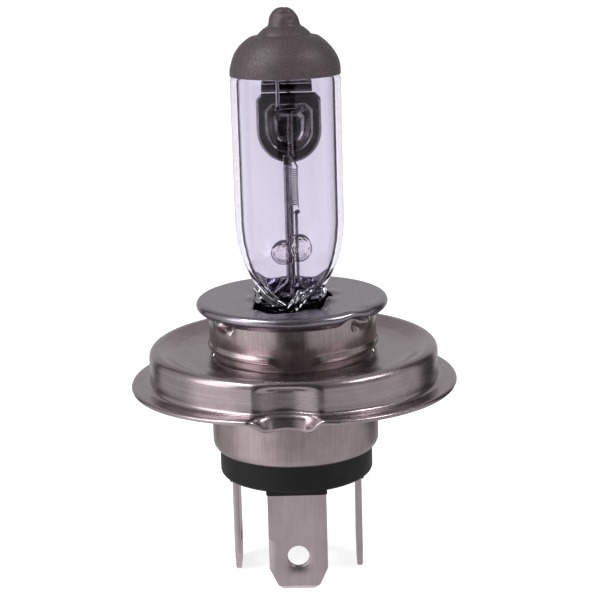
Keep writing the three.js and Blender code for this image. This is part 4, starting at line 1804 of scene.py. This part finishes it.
@dataclass
class Studio:
    """Floor, world, lights, dark cards and the camera."""

    eye: tuple[float, float, float] = (3.075, -217.395, 65.309)
    yaw: float = -0.00905
    pitch: float = 0.24404
    roll: float = -0.0287
    lens: float = 97.94
    floor_half: float = 6.0
    tent_radius: float = 1.6
    world_low: float = 1.0
    world_high: float = 0.36
    horizon: tuple[float, float] = (0.26, 0.56)
    world_tint: Colour = (0.96, 0.95, 1.0)

    def camera(self) -> None:
        """The camera: forward from yaw and pitch, then turned about it by the roll."""
        level = Vector((math.sin(self.yaw), math.cos(self.yaw), 0)) * math.cos(self.pitch)
        forward = level + Vector((0, 0, -math.sin(self.pitch)))
        right = forward.cross(Vector((0, 0, 1))).normalized()
        up = right.cross(forward)
        right = right * math.cos(self.roll) + up * math.sin(self.roll)
        up = right.cross(forward)
        data = bpy.data.cameras.new("camera")
        data.lens, data.sensor_width = self.lens, 36.0
        data.clip_start, data.clip_end = 0.01, 100.0
        camera = bpy.data.objects.new("camera", data)
        turn = Matrix((right, up, -forward)).transposed().to_4x4()
        eye = Vector(self.eye) * MM + Vector((0, 0, FLANGE_Z * MM))
        camera.matrix_world = Matrix.Translation(eye) @ turn
        bpy.context.scene.collection.objects.link(camera)
        bpy.context.scene.camera = camera

    def floor(self, bench: Bench) -> None:
        """A pale floor at the blades' tips.

        Args:
            bench: makes and dresses the pieces.
        """
        half = self.floor_half / MM
        side = np.array([-half, half])
        points = np.stack(np.broadcast_arrays(side[:, None], side[None, :], -FLANGE_Z - 0.01), -1)
        floor = bench.mesh("studio_floor", grid(points), PAPER)

    def tent(self, bench: Bench) -> None:
        """A tent round and under the bulb that only reflections show, brightest on the left.

        Each side is a profile carried round part of the axis: along the floor, then up a
        quarter circle. All but the back is also what the pieces inside the glass reflect.

        Args:
            bench: makes and dresses the pieces.
        """
        under = 0.4 - FLANGE_Z
        profile = np.vstack([[[0, under]], arc(0, under, self.tent_radius / MM, 0, 90, 32)])
        path = evenly(profile, 40)
        for finish, start, end in ((TENT_LEFT, -80, -24), (TENT_FRONT, -24, 24),
                                   (TENT_RIGHT, 24, 80), (TENT_BACK, 80, 280)):
            angle = np.linspace(start, end, 33)[:, None]
            side = grid(place(angle, path[:, 0], path[:, 1]))
            cloth = bench.cloth(f"{finish.name}_cloth", side, finish)
            cloth.visible_transmission = finish is not TENT_BACK

    def world(self) -> None:
        """Even light that falls off from the horizon upwards."""
        s = Shader("studio_world", world=True)
        direction = s.node("ShaderNodeTexCoord", {}, {})
        split = s.node("ShaderNodeSeparateXYZ", {}, {0: direction.outputs["Generated"]})
        strength = s.node("ShaderNodeMapRange", {"interpolation_type": "SMOOTHSTEP"},
                          {"Value": split.outputs["Z"],
                           "From Min": self.horizon[0], "From Max": self.horizon[1],
                           "To Min": self.world_low, "To Max": self.world_high})
        bpy.context.scene.world = s.done({"Strength": strength.outputs["Result"],
                                          "Color": self.world_tint})

    def build(self, bench: Bench) -> None:
        """Makes the studio.

        Args:
            bench: makes and dresses the pieces.
        """
        bpy.context.scene.view_settings.view_transform = "Standard"
        self.camera()
        self.floor(bench)
        self.world()
        for box in (
            Softbox("left_softbox", (-0.82, -0.36, 0.44), 0.8, (0.45, 0.6), 2.6),
            Softbox("left_high_softbox", (-0.5, -0.25, 0.83), 1.0, (0.42, 0.18), 3.6),
            Softbox("right_high_softbox", (0.68, -0.22, 0.7), 1.0, (0.34, 0.2), 2.6),
        ):
            box.build()
        for flag in (Flag("left_flag", -129, 7), Flag("right_flag", 124, 15),
                     Flag("front_flag", 0, 20, near=102)):
            flag.build(bench)
        self.tent(bench)


def main() -> None:
    """Builds the bulb and the studio round it."""
    logging.basicConfig(level=logging.INFO, format="%(message)s")
    bench = Bench()
    Studio().build(bench)
    blades = [Blade("blade_front", 0), Blade("blade_left", -90), Blade("blade_right", 90)]
    Flange().build(bench)
    Base().build(bench, blades)
    for blade in blades:
        blade.build(bench)
    PinchClips().build(bench)
    Capsule().build(bench)
    Shield().build(bench)
    Mount().build(bench)
    for filament in (
        Filament("dipped_filament", 31.5, 37.0, 17, 0.44, 0.42),
        Filament("main_filament", 24.5, 29.6, 18, 0.5, 0.76),
    ):
        filament.build(bench)
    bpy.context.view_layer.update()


if __name__ == "__main__":
    main()
